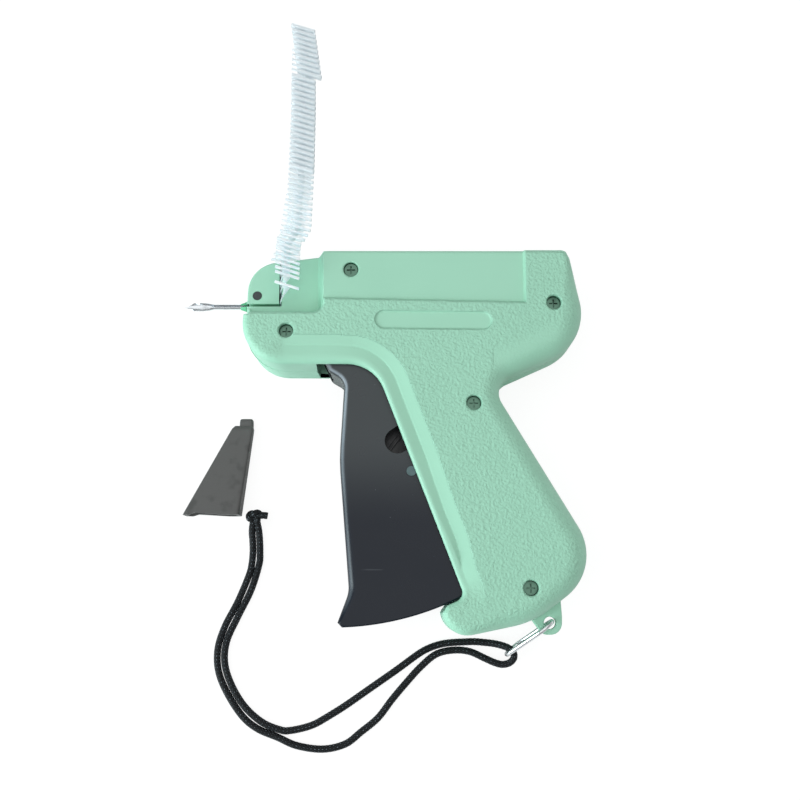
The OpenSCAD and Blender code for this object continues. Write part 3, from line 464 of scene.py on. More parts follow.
def within(line):
    """Field of the places further inside an outline than its shoulder."""
    def field(points):
        near = Near(line, points)
        return near.depth - near.shoulder, near.foot - near.out * near.shoulder[:, None]
    return field


def about(centre, points):
    """Distance and direction of points from a centre, or each from its own."""
    ray = points - centre
    away = np.maximum(np.linalg.norm(ray, axis=1), 1e-9)
    return away, ray / away[:, None]


def round_hole(centre, radius):
    """Field of the places outside a circle."""
    def field(points):
        away, ray = about(np.array(centre), points)
        return away - radius, centre + ray * radius
    return field


def path_hole(path, half):
    """Field of the places further than half from an open path."""
    def field(points):
        a, run = path[:-1], path[1:] - path[:-1]
        share = np.clip(((points[:, None] - a) * run).sum(2) / (run ** 2).sum(1), 0, 1)
        feet = a + share[..., None] * run
        foot = feet[np.arange(len(points)), ((points[:, None] - feet) ** 2).sum(2).argmin(1)]
        away, ray = about(foot, points)
        return away - half, foot + ray * half
    return field


def corner_cut(x, y, keep_corner):
    """Field of a corner left of x and above y: the places in it, or those outside it."""
    def field(points):
        right, below = points[:, 0] - x, y - points[:, 1]
        foot = points.copy()
        foot[right > below, 0], foot[right <= below, 1] = x, y
        value = np.maximum(right, below)
        return (-value if keep_corner else value), foot
    return field


def pocket(side):
    """Field of the places outside the lock's pocket in the rear face, or inside it where side is -1."""
    def field(points):
        far, ray = about(LOCK, points)
        away = np.stack([far - POCKET_RADIUS, points[:, 0] - LOCK[0] - POCKET_SIDE,
                         LOCK[1] - POCKET_SIDE - points[:, 1]], 1)
        feet = np.stack([LOCK + ray * POCKET_RADIUS, points, points], 1)
        feet[:, 1, 0], feet[:, 2, 1] = LOCK[0] + POCKET_SIDE, LOCK[1] - POCKET_SIDE
        row, best = np.arange(len(points)), away.argmax(1)
        return side * away[row, best], feet[row, best]
    return field


def cut_grid(low, high, cell, fields):
    """Flat grid cut along the zero line of each field.

    Points within half a cell of a line are moved onto it; whole cells and three-cornered ones are kept.
    Returns points, cells of four, cells of three, and which line each point is on.
    """
    nx, ny = int((high[0] - low[0]) / cell) + 1, int((high[1] - low[1]) / cell) + 1
    x, y = low[0] + cell * np.arange(nx + 1), low[1] + cell * np.arange(ny + 1)
    points = np.stack(np.meshgrid(x, y), -1).reshape(-1, 2)
    mark, inside = np.full(len(points), -1), np.ones(len(points), bool)
    for number, field in enumerate(fields):
        live = np.flatnonzero(inside)
        value, foot = field(points[live])
        close = np.abs(value) < 0.5 * cell
        points[live[close]] = foot[close]
        mark[live[close]] = number
        inside[live] = close | (value > 0)
    a = (np.arange(ny)[:, None] * (nx + 1) + np.arange(nx)).ravel()
    corner = np.stack([a, a + 1, a + nx + 2, a + nx + 1], 1)
    held = inside[corner]
    fours = corner[held.all(1)]
    threes = [np.delete(corner[~held[:, lost] & (held.sum(1) == 3)], lost, 1) for lost in range(4)]
    return points, fours, np.vstack(threes), mark


def cut_in_two(fours, heights):
    """Each cell of four as two triangles, across the diagonal that is more nearly level."""
    first = np.abs(heights[fours[:, 0]] - heights[fours[:, 2]]) <= np.abs(heights[fours[:, 1]] - heights[fours[:, 3]])
    one, two = fours[first], fours[~first]
    return np.vstack([one[:, [0, 1, 2]], one[:, [0, 2, 3]], two[:, [0, 1, 3]], two[:, [1, 2, 3]]])


def open_edges(triangles, count):
    """Directed edges that only one triangle uses."""
    edges = triangles[:, [0, 1, 1, 2, 2, 0]].reshape(-1, 2)
    code, back = edges[:, 0] * count + edges[:, 1], edges[:, 1] * count + edges[:, 0]
    return edges[~np.isin(code, back)]


def skirt(points, edges, rows):
    """Rows of points that carry on from a cut edge; rows takes the edge's own points and gives one array a row."""
    own, place = np.unique(edges, return_inverse=True)
    place = place.reshape(-1, 2)
    made = rows(own)
    table = np.vstack([own] + [len(points) + k * len(own) + np.arange(len(own)) for k in range(len(made))])
    faces = []
    for k in range(len(made)):
        a, b = table[k][place[:, 0]], table[k][place[:, 1]]
        c, d = table[k + 1][place[:, 1]], table[k + 1][place[:, 0]]
        faces += [np.stack([a, d, c], 1), np.stack([a, c, b], 1)]
    return np.vstack([points] + list(made)), np.vstack(faces)


def moulded_face(low, high, cell, fields, height, skirts):
    """Height over a cut grid, with a skirt down from each cut line.

    height is one Z, or takes X, Y points and gives theirs. skirts[k] takes the points on line k and gives the
    rows below them.
    """
    flat, fours, threes, mark = cut_grid(low, high, cell, fields)
    z = np.zeros(len(flat))
    used = np.unique(np.concatenate([fours.ravel(), threes.ravel()]))
    z[used] = height(flat[used]) if callable(height) else height
    points = np.hstack([flat, z[:, None]])
    faces = np.vstack([cut_in_two(fours, z), threes])
    edges = open_edges(faces, len(points))
    labels = mark[edges]
    label = np.where(labels.min(1) < 0, np.maximum(labels.max(1), 0), labels.min(1))
    for number, rows in enumerate(skirts):
        chosen = edges[label == number]
        if len(chosen):
            points, more = skirt(points, chosen, lambda own: rows(flat[own], z[own]))
            faces = np.vstack([faces, more])
    return points, faces


def tidy(points, faces):
    """Drops unused points and faces without area."""
    area = np.linalg.norm(np.cross(points[faces[:, 1]] - points[faces[:, 0]],
                                   points[faces[:, 2]] - points[faces[:, 0]]), axis=1)
    faces = faces[area > 1e-7]
    used, place = np.unique(faces, return_inverse=True)
    return points[used], place.reshape(-1, 3)


def flipped(mesh):
    """The same mesh with its faces turned over."""
    return mesh[0], mesh[1][:, ::-1]


def merged(*parts):
    """Several (points, faces) meshes as one."""
    base = np.cumsum([0] + [len(points) for points, _ in parts])
    return np.vstack([points for points, _ in parts]), np.vstack([f + b for (_, f), b in zip(parts, base)])


def joined(*parts):
    """Several (points, triangles, painted) meshes as one, tidied."""
    parts = [(*tidy(points, faces), value) for points, faces, value in parts]
    paint = [value(p) if callable(value) else np.full(len(p), float(value)) for p, _, value in parts]
    return *merged(*[part[:2] for part in parts]), np.concatenate(paint)


def inner_faces(node, outer=None, drop=None):
    """Faces of a CAD node, all or those that lie behind a moulded skin, from a copy whose doubles are merged.

    outer takes points and says which of them are on the outer surface; a face goes when all its corners are, or
    when drop takes its middle.
    """
    mesh = frame["nodes"][node].data
    mesh.calc_loop_triangles()
    points = np.empty(len(mesh.vertices) * 3)
    mesh.vertices.foreach_get("co", points)
    faces = np.empty(len(mesh.loop_triangles) * 3, int)
    mesh.loop_triangles.foreach_get("vertices", faces)
    points, place = np.unique(np.round(points.reshape(-1, 3) / MM, 4), axis=0, return_inverse=True)
    faces = place.ravel()[faces].reshape(-1, 3)
    if outer:
        faces = faces[~outer(points)[faces].all(1) & ~drop(points[faces].mean(1))]
    return points, faces


def skin_depth(near, points, face_z, way):
    """How far points are behind a flat face with quarter-round shoulders; way is -1 under a front face."""
    s = np.maximum(near.shoulder, 0.05)
    high = upright_radius(near, s)
    share = np.clip((s - near.depth) / s, 0, 1)
    return way * (points[:, 2] - face_z) - high * (1 - np.sqrt(1 - share ** 2))


# ---------------------------------------------------------------- meshes and objects

def piece(name, points, faces, material, body, nodes=(), paint=None, sharp=40.0, uv=None):
    """Blender object from points in millimetres and faces of three or four corners."""
    mesh = bpy.data.meshes.new(name)
    faces = np.asarray(faces)
    corners = faces.shape[1]
    mesh.vertices.add(len(points))
    mesh.vertices.foreach_set("co", (np.asarray(points) * MM).ravel())
    mesh.loops.add(faces.size)
    mesh.loops.foreach_set("vertex_index", faces.ravel())
    mesh.polygons.add(len(faces))
    mesh.polygons.foreach_set("loop_start", np.arange(len(faces)) * corners)
    mesh.polygons.foreach_set("use_smooth", np.ones(len(faces), bool))
    if paint is not None:
        # The painted numbers are kept under the name grain: leather grain and the painted shade of the screw wells on
        # the shells, a painted highlight strip on the grip, the braid's height on the cord.
        layer = mesh.attributes.new("grain", 'FLOAT', 'POINT')
        layer.data.foreach_set("value", np.asarray(paint, float))
    if uv is not None:
        layer = mesh.uv_layers.new(name="along")
        layer.data.foreach_set("uv", np.asarray(uv, float).ravel())
    mesh.update(calc_edges=True)
    mesh.validate()
    mesh.set_sharp_from_angle(angle=math.radians(sharp))
    mesh.materials.append(material)
    made = bpy.data.objects.new(name, mesh)
    bpy.context.scene.collection.objects.link(made)
    if body:
        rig.ride(made, body)
    if nodes:
        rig.replaces(made, *nodes)
    return made


def grid_faces(rows, columns, closed_rows=False):
    """Faces of four between neighbouring rows of a rows x columns table of points, whose columns close."""
    r, c = [v.ravel() for v in np.meshgrid(np.arange(rows if closed_rows else rows - 1), np.arange(columns),
                                           indexing='ij')]
    r2, c2 = (r + 1) % rows, (c + 1) % columns
    return np.stack([r * columns + c, r * columns + c2, r2 * columns + c2, r2 * columns + c], 1)


def spline(points, spacing):
    """Smooth line through the points (Catmull-Rom), resampled to even steps."""
    p = np.asarray(points, float)
    p = np.vstack([2 * p[0] - p[1], p, 2 * p[-1] - p[-2]])
    t = np.linspace(0, 1, 24, endpoint=False)[:, None, None]
    a, b, c, d = p[:-3], p[1:-2], p[2:-1], p[3:]
    curve = 0.5 * (2 * b + (c - a) * t + (2 * a - 5 * b + 4 * c - d) * t ** 2 + (3 * b - a - 3 * c + d) * t ** 3)
    curve = np.vstack([curve.transpose(1, 0, 2).reshape(-1, p.shape[1]), p[-2]])
    length = np.concatenate([[0], np.cumsum(np.linalg.norm(np.diff(curve, axis=0), axis=1))])
    want = np.linspace(0, length[-1], int(length[-1] / spacing) + 1)
    return np.stack([np.interp(want, length, curve[:, k]) for k in range(p.shape[1])], 1), want


def tube_points(line, radius, sides, closed=False, across=None):
    """Round section of the given radius, a number or one per point and side, carried along a line.

    Its first side lies along across, or level where that isn't given. The sides run so that the faces between
    them have to be turned over.
    """
    along = np.roll(line, -1, 0) - np.roll(line, 1, 0)
    if not closed:
        along[0], along[-1] = line[1] - line[0], line[-1] - line[-2]
    along = unit(along)
    across = unit(np.cross(along, [0, 0, 1.0])) if across is None else np.broadcast_to(across, along.shape)
    ray = rays(turns(sides)) @ np.stack([across, np.cross(across, along)], 1)
    return (line[:, None] + np.broadcast_to(radius, ray.shape[:2])[..., None] * ray).reshape(-1, 3)


def end_caps(rows, sides):
    """Fans of faces of four that close both ends of a tube whose sides are an even number."""
    k = np.arange(sides // 2 - 1)
    first = np.stack([k + 1, k, sides - 1 - k, sides - 2 - k], 1)
    return np.vstack([first, (rows - 1) * sides + first[:, ::-1]])


def tube_faces(rows, sides):
    return np.vstack([grid_faces(rows, sides), end_caps(rows, sides)])


# ---------------------------------------------------------------- finishes

def mint_plastic():
    """Moulded mint plastic: leather grain where the mesh is painted, a fine orange peel elsewhere, painted shade in the
    grain's valleys and down the screw wells.
    """
    f = Finish("mint_plastic")
    grain = f.painted("grain")
    size, depth = sizes().grain_size, sizes().grain_depth
    place = f.place()
    warp = f.noise(place, size * 2.2, 1.0)
    pebble = f.noise(place, size * 0.95, 2.0, 0.45, 0.35)
    worm = f.cells(place, size * 1.25, 'SMOOTH_F1', Smoothness=0.6)
    leather = (pebble * 1.3 + worm * 0.55 + warp * 0.25) * grain
    peel = f.noise(place, 0.00035, 2.0) * 0.05
    cloud = f.noise(place, 0.018, 3.0)
    # Painted shade: darker in the grain's valleys; a cloudy tone varies at random over the whole face.
    valley_shade_and_tone = (pebble.step(0.62, 0.36) * 0.16 * grain) + cloud.step(0.35, 0.75, 0.0, 0.05)
    mint = tuple(colours().mint)
    shaded_mint = f.blend(valley_shade_and_tone, mint, times(mint, 0.62))
    # Painted shade down the screw wells: where the paint is below zero the colour turns deep green.
    colour = f.blend((-grain).step(0.0, 1.0), shaded_mint, (0.013, 0.145, 0.070))
    return f.done({'Specular IOR Level': 0.42}, Base_Color=colour,
                  Roughness=cloud.step(0.3, 0.7, 0.40, 0.50) + grain * 0.06,
                  Normal=f.bump(leather + peel, depth * 1.8))


def grip_plastic():
    """Glossy black plastic with dust and a few hairline scratches; painted reflection makes it lighter at the top and
    cooler, darker and bluer at its lower end, and a painted highlight strip runs along the front edge where the mesh is
    painted.
    """
    f = Finish("grip_plastic")
    place = f.place()
    # Painted reflection: lighter towards the top, darker and bluer towards the lower end.
    low = f.up_the_body(place, -0.030, -0.062)
    speck = f.cells(place, 0.0026).step(0.060, 0.030)
    chosen = f.noise(place, 0.006, 1.0).step(0.56, 0.62)
    line = f.noise(f.place((40, 900, 40), (0, 0, 0.6)), 1.0, 1.0).step(0.735, 0.76)
    patch = f.noise(place, 0.014, 1.0).step(0.55, 0.66)
    haze = f.noise(place, 0.02, 4.0, 0.6)
    black = tuple(colours().grip_black)
    base = f.blend(low, times(black, (1.35, 1.45, 1.40)), times(black, (0.05, 0.16, 0.34)))
    dusty = f.blend(speck * chosen * 0.55, base, (0.35, 0.37, 0.40))
    marked = f.blend(line * patch * 0.08, dusty, (0.30, 0.33, 0.36))
    # Painted highlight: a bluish strip along the front edge where the mesh is painted.
    colour = f.blend(f.painted("grain") * haze.step(0.2, 0.6, 0.55, 0.95), marked, (0.33, 0.39, 0.44))
    peel = f.noise(place, 0.0004, 2.0)
    return f.done({'Specular IOR Level': 0.34}, Base_Color=colour,
                  Roughness=haze.step(0.3, 0.75, 0.24, 0.36) + speck * chosen * 0.3,
                  Normal=f.bump(peel, 0.00001))


def guard_plastic():
    """Worn black plastic of the needle guard, greyer on its faces, with smudges and dust."""
    f = Finish("guard_plastic")
    place = f.place()
    smudge = f.noise(place, 0.006, 2.0).step(0.52, 0.70)
    dust = f.cells(place, 0.0022).step(0.05, 0.02) * f.noise(place, 0.005, 1.0).step(0.55, 0.62)
    grey = tuple(colours().guard_grey)
    base = f.blend(smudge * 0.6, grey, times(grey, 0.55))
    colour = f.blend(dust * 0.4, base, (0.3, 0.3, 0.3))
    fine = f.noise(place, 0.00045, 2.0)
    return f.done({'Specular IOR Level': 0.5}, Base_Color=colour,
                  Roughness=smudge * 0.12 + 0.42, Normal=f.bump(fine, 0.00002))


def steel(name, tint=(0.78, 0.80, 0.82), rough=0.22):
    """Drawn steel with fine lengthwise marks and slight tarnish."""
    f = Finish(name)
    place = f.place()
    drawn = f.noise(f.place((300, 5000, 5000)), 1.0, 2.0)
    tarnish = f.noise(place, 0.004, 3.0).step(0.45, 0.75)
    colour = f.blend(tarnish * 0.35, tint, times(tint, 0.6))
    return f.done({}, Base_Color=colour, Metallic=tarnish.step(0, 1, 1.0, 0.92),
                  Roughness=tarnish * 0.18 + rough, Normal=f.bump(drawn, 0.000004))


def braided_cord():
    """Braided black yarn: a painted highlight on the raised tops of the strands, brighter in patches, black in the gaps
    between them, fine fibres along each strand.
    """
    f = Finish("braided_cord")
    uv = f.node('ShaderNodeUVMap', {'uv_map': "along"})
    top = f.painted("grain")
    fibre = f.noise(f.node('ShaderNodeMapping', {}, {'Vector': uv, 'Scale': (9, 55, 1)}), 1.0, 2.0)
    painted_highlight = f.noise(f.place(), 0.0007, 1.0).step(0.42, 0.62)
    black = tuple(colours().cord_black)
    # Painted highlight: the raised tops of the strands turn bluish grey, brighter in patches.
    sheen = f.blend(painted_highlight, (0.040, 0.052, 0.060), (0.190, 0.235, 0.270))
    colour = f.blend(top.step(0.66, 0.95), black, sheen)
    return f.done({'Specular IOR Level': 0.20, 'Sheen Weight': 0.05, 'Sheen Roughness': 0.5}, Base_Color=colour,
                  Roughness=fibre.step(0.2, 0.8, 0.48, 0.75), Normal=f.bump(fibre, 0.00004))


def tag_nylon():
    """Milky translucent nylon of the tag pins, with a faint painted glow and painted shade that greys its packed far
    end.
    """
    f = Finish("tag_nylon")
    place = f.place()
    milky = f.noise(place, 0.002, 2.0)
    nylon = tuple(colours().nylon)
    colour = f.blend(milky.step(0.3, 0.7), nylon, tuple(min(1.0, c * 1.18) for c in nylon))
    # Painted shade: towards the packed far end the nylon turns greyer.
    far = f.up_the_body(place, 0.042, 0.062)
    colour = f.blend(far, colour, (0.84, 0.88, 0.90))
    # The emission is a painted glow: a faint bluish light from the nylon itself.
    return f.done({'Specular IOR Level': 0.45, 'Transmission Weight': 0.30, 'IOR': 1.45,
                   'Emission Color': (0.60, 0.80, 0.90, 1.0), 'Emission Strength': 0.05,
                   'Subsurface Weight': 0.25, 'Subsurface Radius': (0.002, 0.002, 0.002),
                   'Subsurface Scale': 1.0}, Base_Color=colour,
                  Roughness=milky.step(0.2, 0.8, 0.28, 0.42),
                  Normal=f.bump(f.noise(place, 0.0006, 1.0), 0.00002))


def plain_plastic(name, tint, rough):
    """Small moulded piece: one colour with a slight mottle and a fine surface."""
    f = Finish(name)
    place = f.place()
    mottle = f.noise(place, 0.003, 3.0)
    colour = f.blend(mottle.step(0.4, 0.75) * 0.2, tint, times(tint, 0.5))
    return f.done({}, Base_Color=colour, Roughness=mottle.step(0.3, 0.7, rough - 0.05, rough + 0.08),
                  Normal=f.bump(f.noise(place, 0.0004, 1.0), 0.00002))


# ---------------------------------------------------------------- stage

class GUN_OT_stage(Operator):
    """Floor, camera, world and lamps."""
    bl_idname = "gun.stage"
    bl_label = "Stage"

    def execute(self, context):
        scene = context.scene
        scene.view_settings.view_transform = 'Standard'
        camera = bpy.data.cameras.new("view")
        camera.angle = math.radians(42.485)
        camera.clip_start, camera.clip_end = 0.01, 20
        eye = bpy.data.objects.new("view", camera)
        eye.location = (0.0213968, -0.0846768, 0.356)
        eye.rotation_euler = (math.radians(11), 0, 0)
        scene.collection.objects.link(eye)
        scene.camera = eye
        self.world(scene)
        self.floor()
        aim, white = np.array([0.02, -0.03, 0.0]), (1.0, 1.0, 1.0)
        for name, place, side, watts, colour in (
                ("window", (-0.62, -0.30, 0.23), 0.50, 5.2, (0.86, 0.98, 1.0)),
                ("ceiling", (0.00, 0.05, 0.85), 1.40, 5.6, white), ("wall", (0.55, 0.25, 0.35), 0.50, 0.2, white)):
            lamp = bpy.data.lights.new(name, 'AREA')
            lamp.size, lamp.energy, lamp.color = side, watts, colour
            made = bpy.data.objects.new(name, lamp)
            made.location = place
            x, y, z = place - aim
            made.rotation_euler = (math.atan2(math.hypot(x, y), z), 0, math.atan2(x, -y))
            scene.collection.objects.link(made)
        return {'FINISHED'}

    @staticmethod
    def seen(finish):
        """1 for rays that come straight from the camera or through clear pieces."""
        path = finish.tree.nodes.new('ShaderNodeLightPath')
        camera, through = [Wire(finish, path.outputs[k]) for k in ('Is Camera Ray', 'Is Transmission Ray')]
        return camera.math('ADD', through, clamp=True)

    def world(self, scene):
        scene.world = bpy.data.worlds.new("room")
        f = Finish("room", scene.world)
        plain, white = [f.node('ShaderNodeBackground', {}, {'Color': (1, 1, 1, 1), 'Strength': strength})
                        for strength in (0.30, 1.0)]
        f.end(f.node('ShaderNodeMixShader', {}, {0: self.seen(f), 1: plain, 2: white}), 'ShaderNodeOutputWorld')

    def floor(self):
        f = Finish("table")
        shade = f.node('ShaderNodeBsdfDiffuse', {}, {'Color': (0.93, 0.93, 0.93, 1)})
        white = f.node('ShaderNodeEmission', {}, {'Color': (1, 1, 1, 1), 'Strength': 1.1})
        f.end(f.node('ShaderNodeMixShader', {}, {0: self.seen(f) * 0.80, 1: shade, 2: white}))
        half, z = 1500, -0.02
        corner = [(-half, -half, z), (half, -half, z), (half, half, z), (-half, half, z)]
        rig.stage(piece("table", corner, [[0, 1, 2, 3]], f.material, None))


# ---------------------------------------------------------------- tether: cord, knot, ring, guard

def braid(around, along):
    """Height of the braid, 0 to 1: rounded diamonds where two families of strands cross, each a little askew."""
    u, v = 4 * around, math.pi * along / 1.25
    weave = np.cos(u + v) * np.cos(u - v)
    return np.sqrt(np.abs(weave)) * (0.93 + 0.07 * np.sign(weave))


class GUN_OT_tether(Operator):
    """Doubled braided cord and the knot that gathers its ends."""
    bl_idname = "gun.tether"
    bl_label = "Tether"

    def execute(self, context):
        material = braided_cord()
        line, length = spline(TETHER, 0.28)
        sides, radius = 28, sizes().cord_radius / MM
        height = braid(turns(sides), length[:, None])
        points = tube_points(line, radius - 0.12 + 0.12 * height, sides)
        faces, caps = grid_faces(len(line), sides), end_caps(len(line), sides)
        row, column = np.divmod(faces[:, :1], sides)
        uv = np.stack([(column + [0, 1, 1, 0]) / sides, length[row + [1, 1, 0, 0]] / 10], -1)
        uv = np.vstack([uv.reshape(-1, 2), np.zeros((caps.size, 2))])
        cord = piece("cord", points, np.vstack([faces, caps])[:, ::-1], material, "gun_body", ["tether_cord"],
                     paint=height.ravel(), uv=uv, sharp=70)
        knot = self.knot(material)
        path = [tuple(p * MM) for p in line[::4]] + [tuple(line[-1] * MM)]
        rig.cord(cord, exit=path[0], length=float(length[-1] * MM), diameter=2 * radius * MM, far_end="object",
                stiffness="limp", lay="loose", path=path, with_pieces=[knot])
        return {'FINISHED'}

    @staticmethod
    def knot(material):
        """Overhand knot: a trefoil of cord pulled tight, with the cut end standing out of it to the right."""
        t = turns(220)
        trefoil = np.stack([np.sin(t) + 2 * np.sin(2 * t), np.cos(t) - 2 * np.cos(2 * t), -np.sin(3 * t)], 1)
        line = np.array(KNOT_AT) + trefoil * [0.64, 0.62, 0.85] @ np.array(
            [[0.96, 0.26, 0.10], [-0.28, 0.93, 0.24], [-0.03, -0.26, 0.96]])
        sides = 20
        height = braid(turns(sides), run_along(line)[:, None])
        loop = tube_points(line, 1.04 + 0.12 * height, sides, closed=True)
        tail, run = spline(KNOT_AT + np.array([[0.2, 0.2, 0.3], [1.6, 0.35, 0.6], [3.0, 0.5, 0.75], [4.55, 0.3, 0.6]]),
                           0.28)
        bulge = braid(turns(sides), run[:, None])
        stub = tube_points(tail, 1.1 + 0.1 * bulge, sides)
        points, faces = flipped(merged((loop, grid_faces(len(line), sides, closed_rows=True)),
                                       (stub, tube_faces(len(tail), sides))))
        points[:, 2] = np.maximum(points[:, 2], 0.05)
        paint = np.concatenate([height.ravel(), bulge.ravel()])
        uv = points[faces][..., :2].reshape(-1, 2) / 10
        return piece("knot", points, faces, material, "gun_body", ["cord_knot"], paint=paint, uv=uv, sharp=70)


class GUN_OT_ring(Operator):
    """Oblong wire ring through the lug."""
    bl_idname = "gun.ring"
    bl_label = "Strap ring"

    def execute(self, context):
        half, run, wire, sides = 4.0, 12.5, 0.75, 20
        # Half of a stadium in even steps, one straight run and one bend, and the same half turned round
        t = np.linspace(0, run + math.pi * half, 130, endpoint=False)
        bend = np.maximum(t - run, 0) / half
        first = np.stack([np.minimum(t, run) + half * np.sin(bend), -half * np.cos(bend)], 1)
        x, y = np.vstack([first, [run, 0] - first]).T
        tilt, heading = math.radians(-38.7), math.radians(217.5)
        u = 3.2 + x * math.cos(tilt) - y * math.sin(tilt)
        w = 12.6 + x * math.sin(tilt) + y * math.cos(tilt)
        line = lifted(LUG_HOLE + u[:, None] * rays(heading), w)
        points = tube_points(line, wire, sides, True, (-math.sin(heading), math.cos(heading), 0))
        piece("ring", points, grid_faces(len(line), sides, closed_rows=True)[:, ::-1], steel("ring_steel"), "gun_body",
              ["strap_ring"], sharp=60)
        return {'FINISHED'}


class GUN_OT_guard(Operator):
    """Hollow tapered needle guard with its nub."""
    bl_idname = "gun.guard"
    bl_label = "Needle guard"

    def execute(self, context):
        points, faces = merged(self.wedge(), self.nub())
        piece("guard", points, faces, guard_plastic(), "gun_body", ["needle_guard"], sharp=32)
        return {'FINISHED'}

    @staticmethod
    def section(left, right, low, high, power, count):
        """Rounded rectangle between the sides, the floor and the top: points of a superellipse."""
        x, z = squared(rays(turns(count, 0.5)), power).T
        return np.stack([(left + right + (right - left) * x) / 2, 0 * x, (low + high + (high - low) * z) / 2], 1)

    def wedge(self):
        """Straight lines from the mouth to the tip: the outer skin, then an inner one set in by the wall."""
        sides, rows = 56, []
        outside = np.concatenate([np.linspace(0, 0.97, 30), [0.985, 0.995, 1.0]])
        for inset, stations in ((0.0, outside), (1.2, np.linspace(0.94, 0.0, 24))):
            mouth = self.section(-52.1 + inset, -32.9 - inset, inset, 8.6 - inset, 0.2, sides)
            tip = self.section(-36.4 + inset, -29.4 - inset, inset, 4.4 - inset, 0.26, sides)
            reach = np.sqrt(np.maximum(15.2 ** 2 - (mouth[:, 0] + 43.7) ** 2, 0))
            mouth[:, 1] = np.maximum(-70.4 + reach, -56.4)
            tip[:, 1] = -25.4
            middle = tip.mean(0)
            for v in stations:
                row = mouth + v * (tip - mouth)
                pinch = 0.5 * smooth(v, 0.965, 1.0) if inset == 0 else 0.0
                rows.append(row - pinch * unit((row - middle) * [1, 0, 1]))
        faces = grid_faces(len(rows), sides)
        faces = faces[faces[:, 0] // sides != len(outside) - 1]
        first, last = np.split(end_caps(len(outside), sides), 2)
        c, end = np.arange(sides), (len(rows) - 1) * sides
        rim = np.stack([c, end + c, end + (c + 1) % sides, (c + 1) % sides], 1)
        return np.vstack(rows), np.vstack([faces, last, first + len(outside) * sides, rim])[:, ::-1]

    def nub(self):
        """Small rounded block at the tip."""
        rows = [self.section(-34.3 + inset, -29.7 - inset, 0.4 + inset, 3.8 - inset, 0.35, 32) + [0, y, 0]
                for y, inset in ((-26.6, 0.0), (-24.2, 0.0), (-23.3, 0.08), (-22.95, 0.3), (-22.82, 0.7))]
        return np.vstack(rows), tube_faces(len(rows), 32)[:, ::-1]


# ---------------------------------------------------------------- housing

def housing_shoulder(line, rear=False):
    """Shoulders of the shells. The front one is wider and flatter along the nose, and sharp in the nose recess."""
    x, y, shoulder = line[:, 0], line[:, 1], line[:, 4]
    if not rear:
        nose = (1 - smooth(line[:, 5], 40, 58)) * (line[:, 5] < 60) + (x < -28) * (y < 9.4) * (line[:, 5] > 60)
        shoulder = np.maximum(shoulder, 3.0 * nose)
    return np.where((y > 10.5) & (x < -5.5), 0.5, eased(shoulder))


def housing_line(corners, rear=False):
    """Outline of the shells."""
    line = rounded(corners)
    line[:, 4] = housing_shoulder(line, rear)
    return line


def upright_radius(near, shoulder):
    """Height of the shoulder: its width, but 1.7 at the most along the nose."""
    nose = (near.run < 60) | ((near.foot[:, 0] < -28) & (near.foot[:, 1] < 9.6))
    return np.where(nose, np.minimum(shoulder, 1.7), shoulder)


def recess_depth(points):
    """Depth of the nose recess: 8 below a rounded corner at (-4.1, 9.4), with soft rim and floor edges."""
    r = 3.5
    qx, qy = points[:, 0] - (-4.1 - r), (9.4 + r) - points[:, 1]
    away = np.hypot(np.maximum(qx, 0), np.maximum(qy, 0)) + np.minimum(np.maximum(qx, qy), 0) - r
    return away, (FRONT - NOSE_FACE) * smooth(-away, -0.35, 2.5)


def from_screws(points):
    """Distance from the nearest screw's axis."""
    return np.min([np.hypot(points[:, 0] - x, points[:, 1] - y) for x, y in SCREWS], axis=0)


def panel_away(points):
    """Signed distance outside the smooth upper panel."""
    x, y = points[:, 0], points[:, 1]
    lower = (14.15 - (x + 4.4) * 0.0216) - y
    return np.maximum(lower, x - 63.4)


def plate_away(points):
    """Signed distance outside the pill-shaped plate."""
    x, y = points[:, 0], points[:, 1] - 6.6 + (points[:, 0] - 32.5) * 0.012
    return np.hypot(x - np.clip(x, 16.2, 48.8), y) - 3.0


def bevel(depth, run):
    """Drop of the bevel along the nose and the front strap: rim, groove, a small step, and a rising band."""
    rim = 2.9 - 1.4 * smooth(run, 40, 62) + 0.8 * smooth(run, 100, 122)
    groove = np.interp(run, [84, 114, 123], [3.3, 2.0, 0.02])
    inner = rim + groove
    outer = inner + 3.2 + 0.6 * smooth(run, 40, 62) + 0.5 * smooth(run, 112, 128)
    share = smooth(run, 12, 27) * (1 - smooth(run, 125, 134)) * (run < 140)
    strap = smooth(run, 36, 60)
    band = (0.42 + 0.78 * strap) * np.clip((outer - depth) / (outer - inner), 0, 1)
    step = (0.16 + 0.06 * strap) * (1 - smooth(depth, inner - 0.05, inner + 0.12)) * np.minimum(groove, 1)
    rise = (0.16 + 0.64 * strap) * np.clip((inner - depth) / np.maximum(groove, 0.5), 0, 1) * np.minimum(groove, 1)
    drop = (band + step - rise * (depth < inner)) * share
    return drop, share * (depth < outer + 0.1)


def front_height(line):
    """Z over the front face: plateau less the bevel, the panel, the plate, the recess and the well rims."""
    def height(points):
        near = Near(line, points)
        drop, _ = bevel(near.depth, near.run)
        away, recess = recess_depth(points)
        panel = smooth(-panel_away(points), -0.1, 0.6) * (away > -1.2)
        plate = 0.45 * smooth(-plate_away(points), -0.12, 0.35)
        rim = 0.22 * (1 - smooth(from_screws(points), WELL_RADIUS, 2.85))
        level = FRONT - drop - panel - plate - rim
        return np.where(away < 0.35, np.minimum(level, FRONT - np.maximum(recess, panel)), level)
    return height


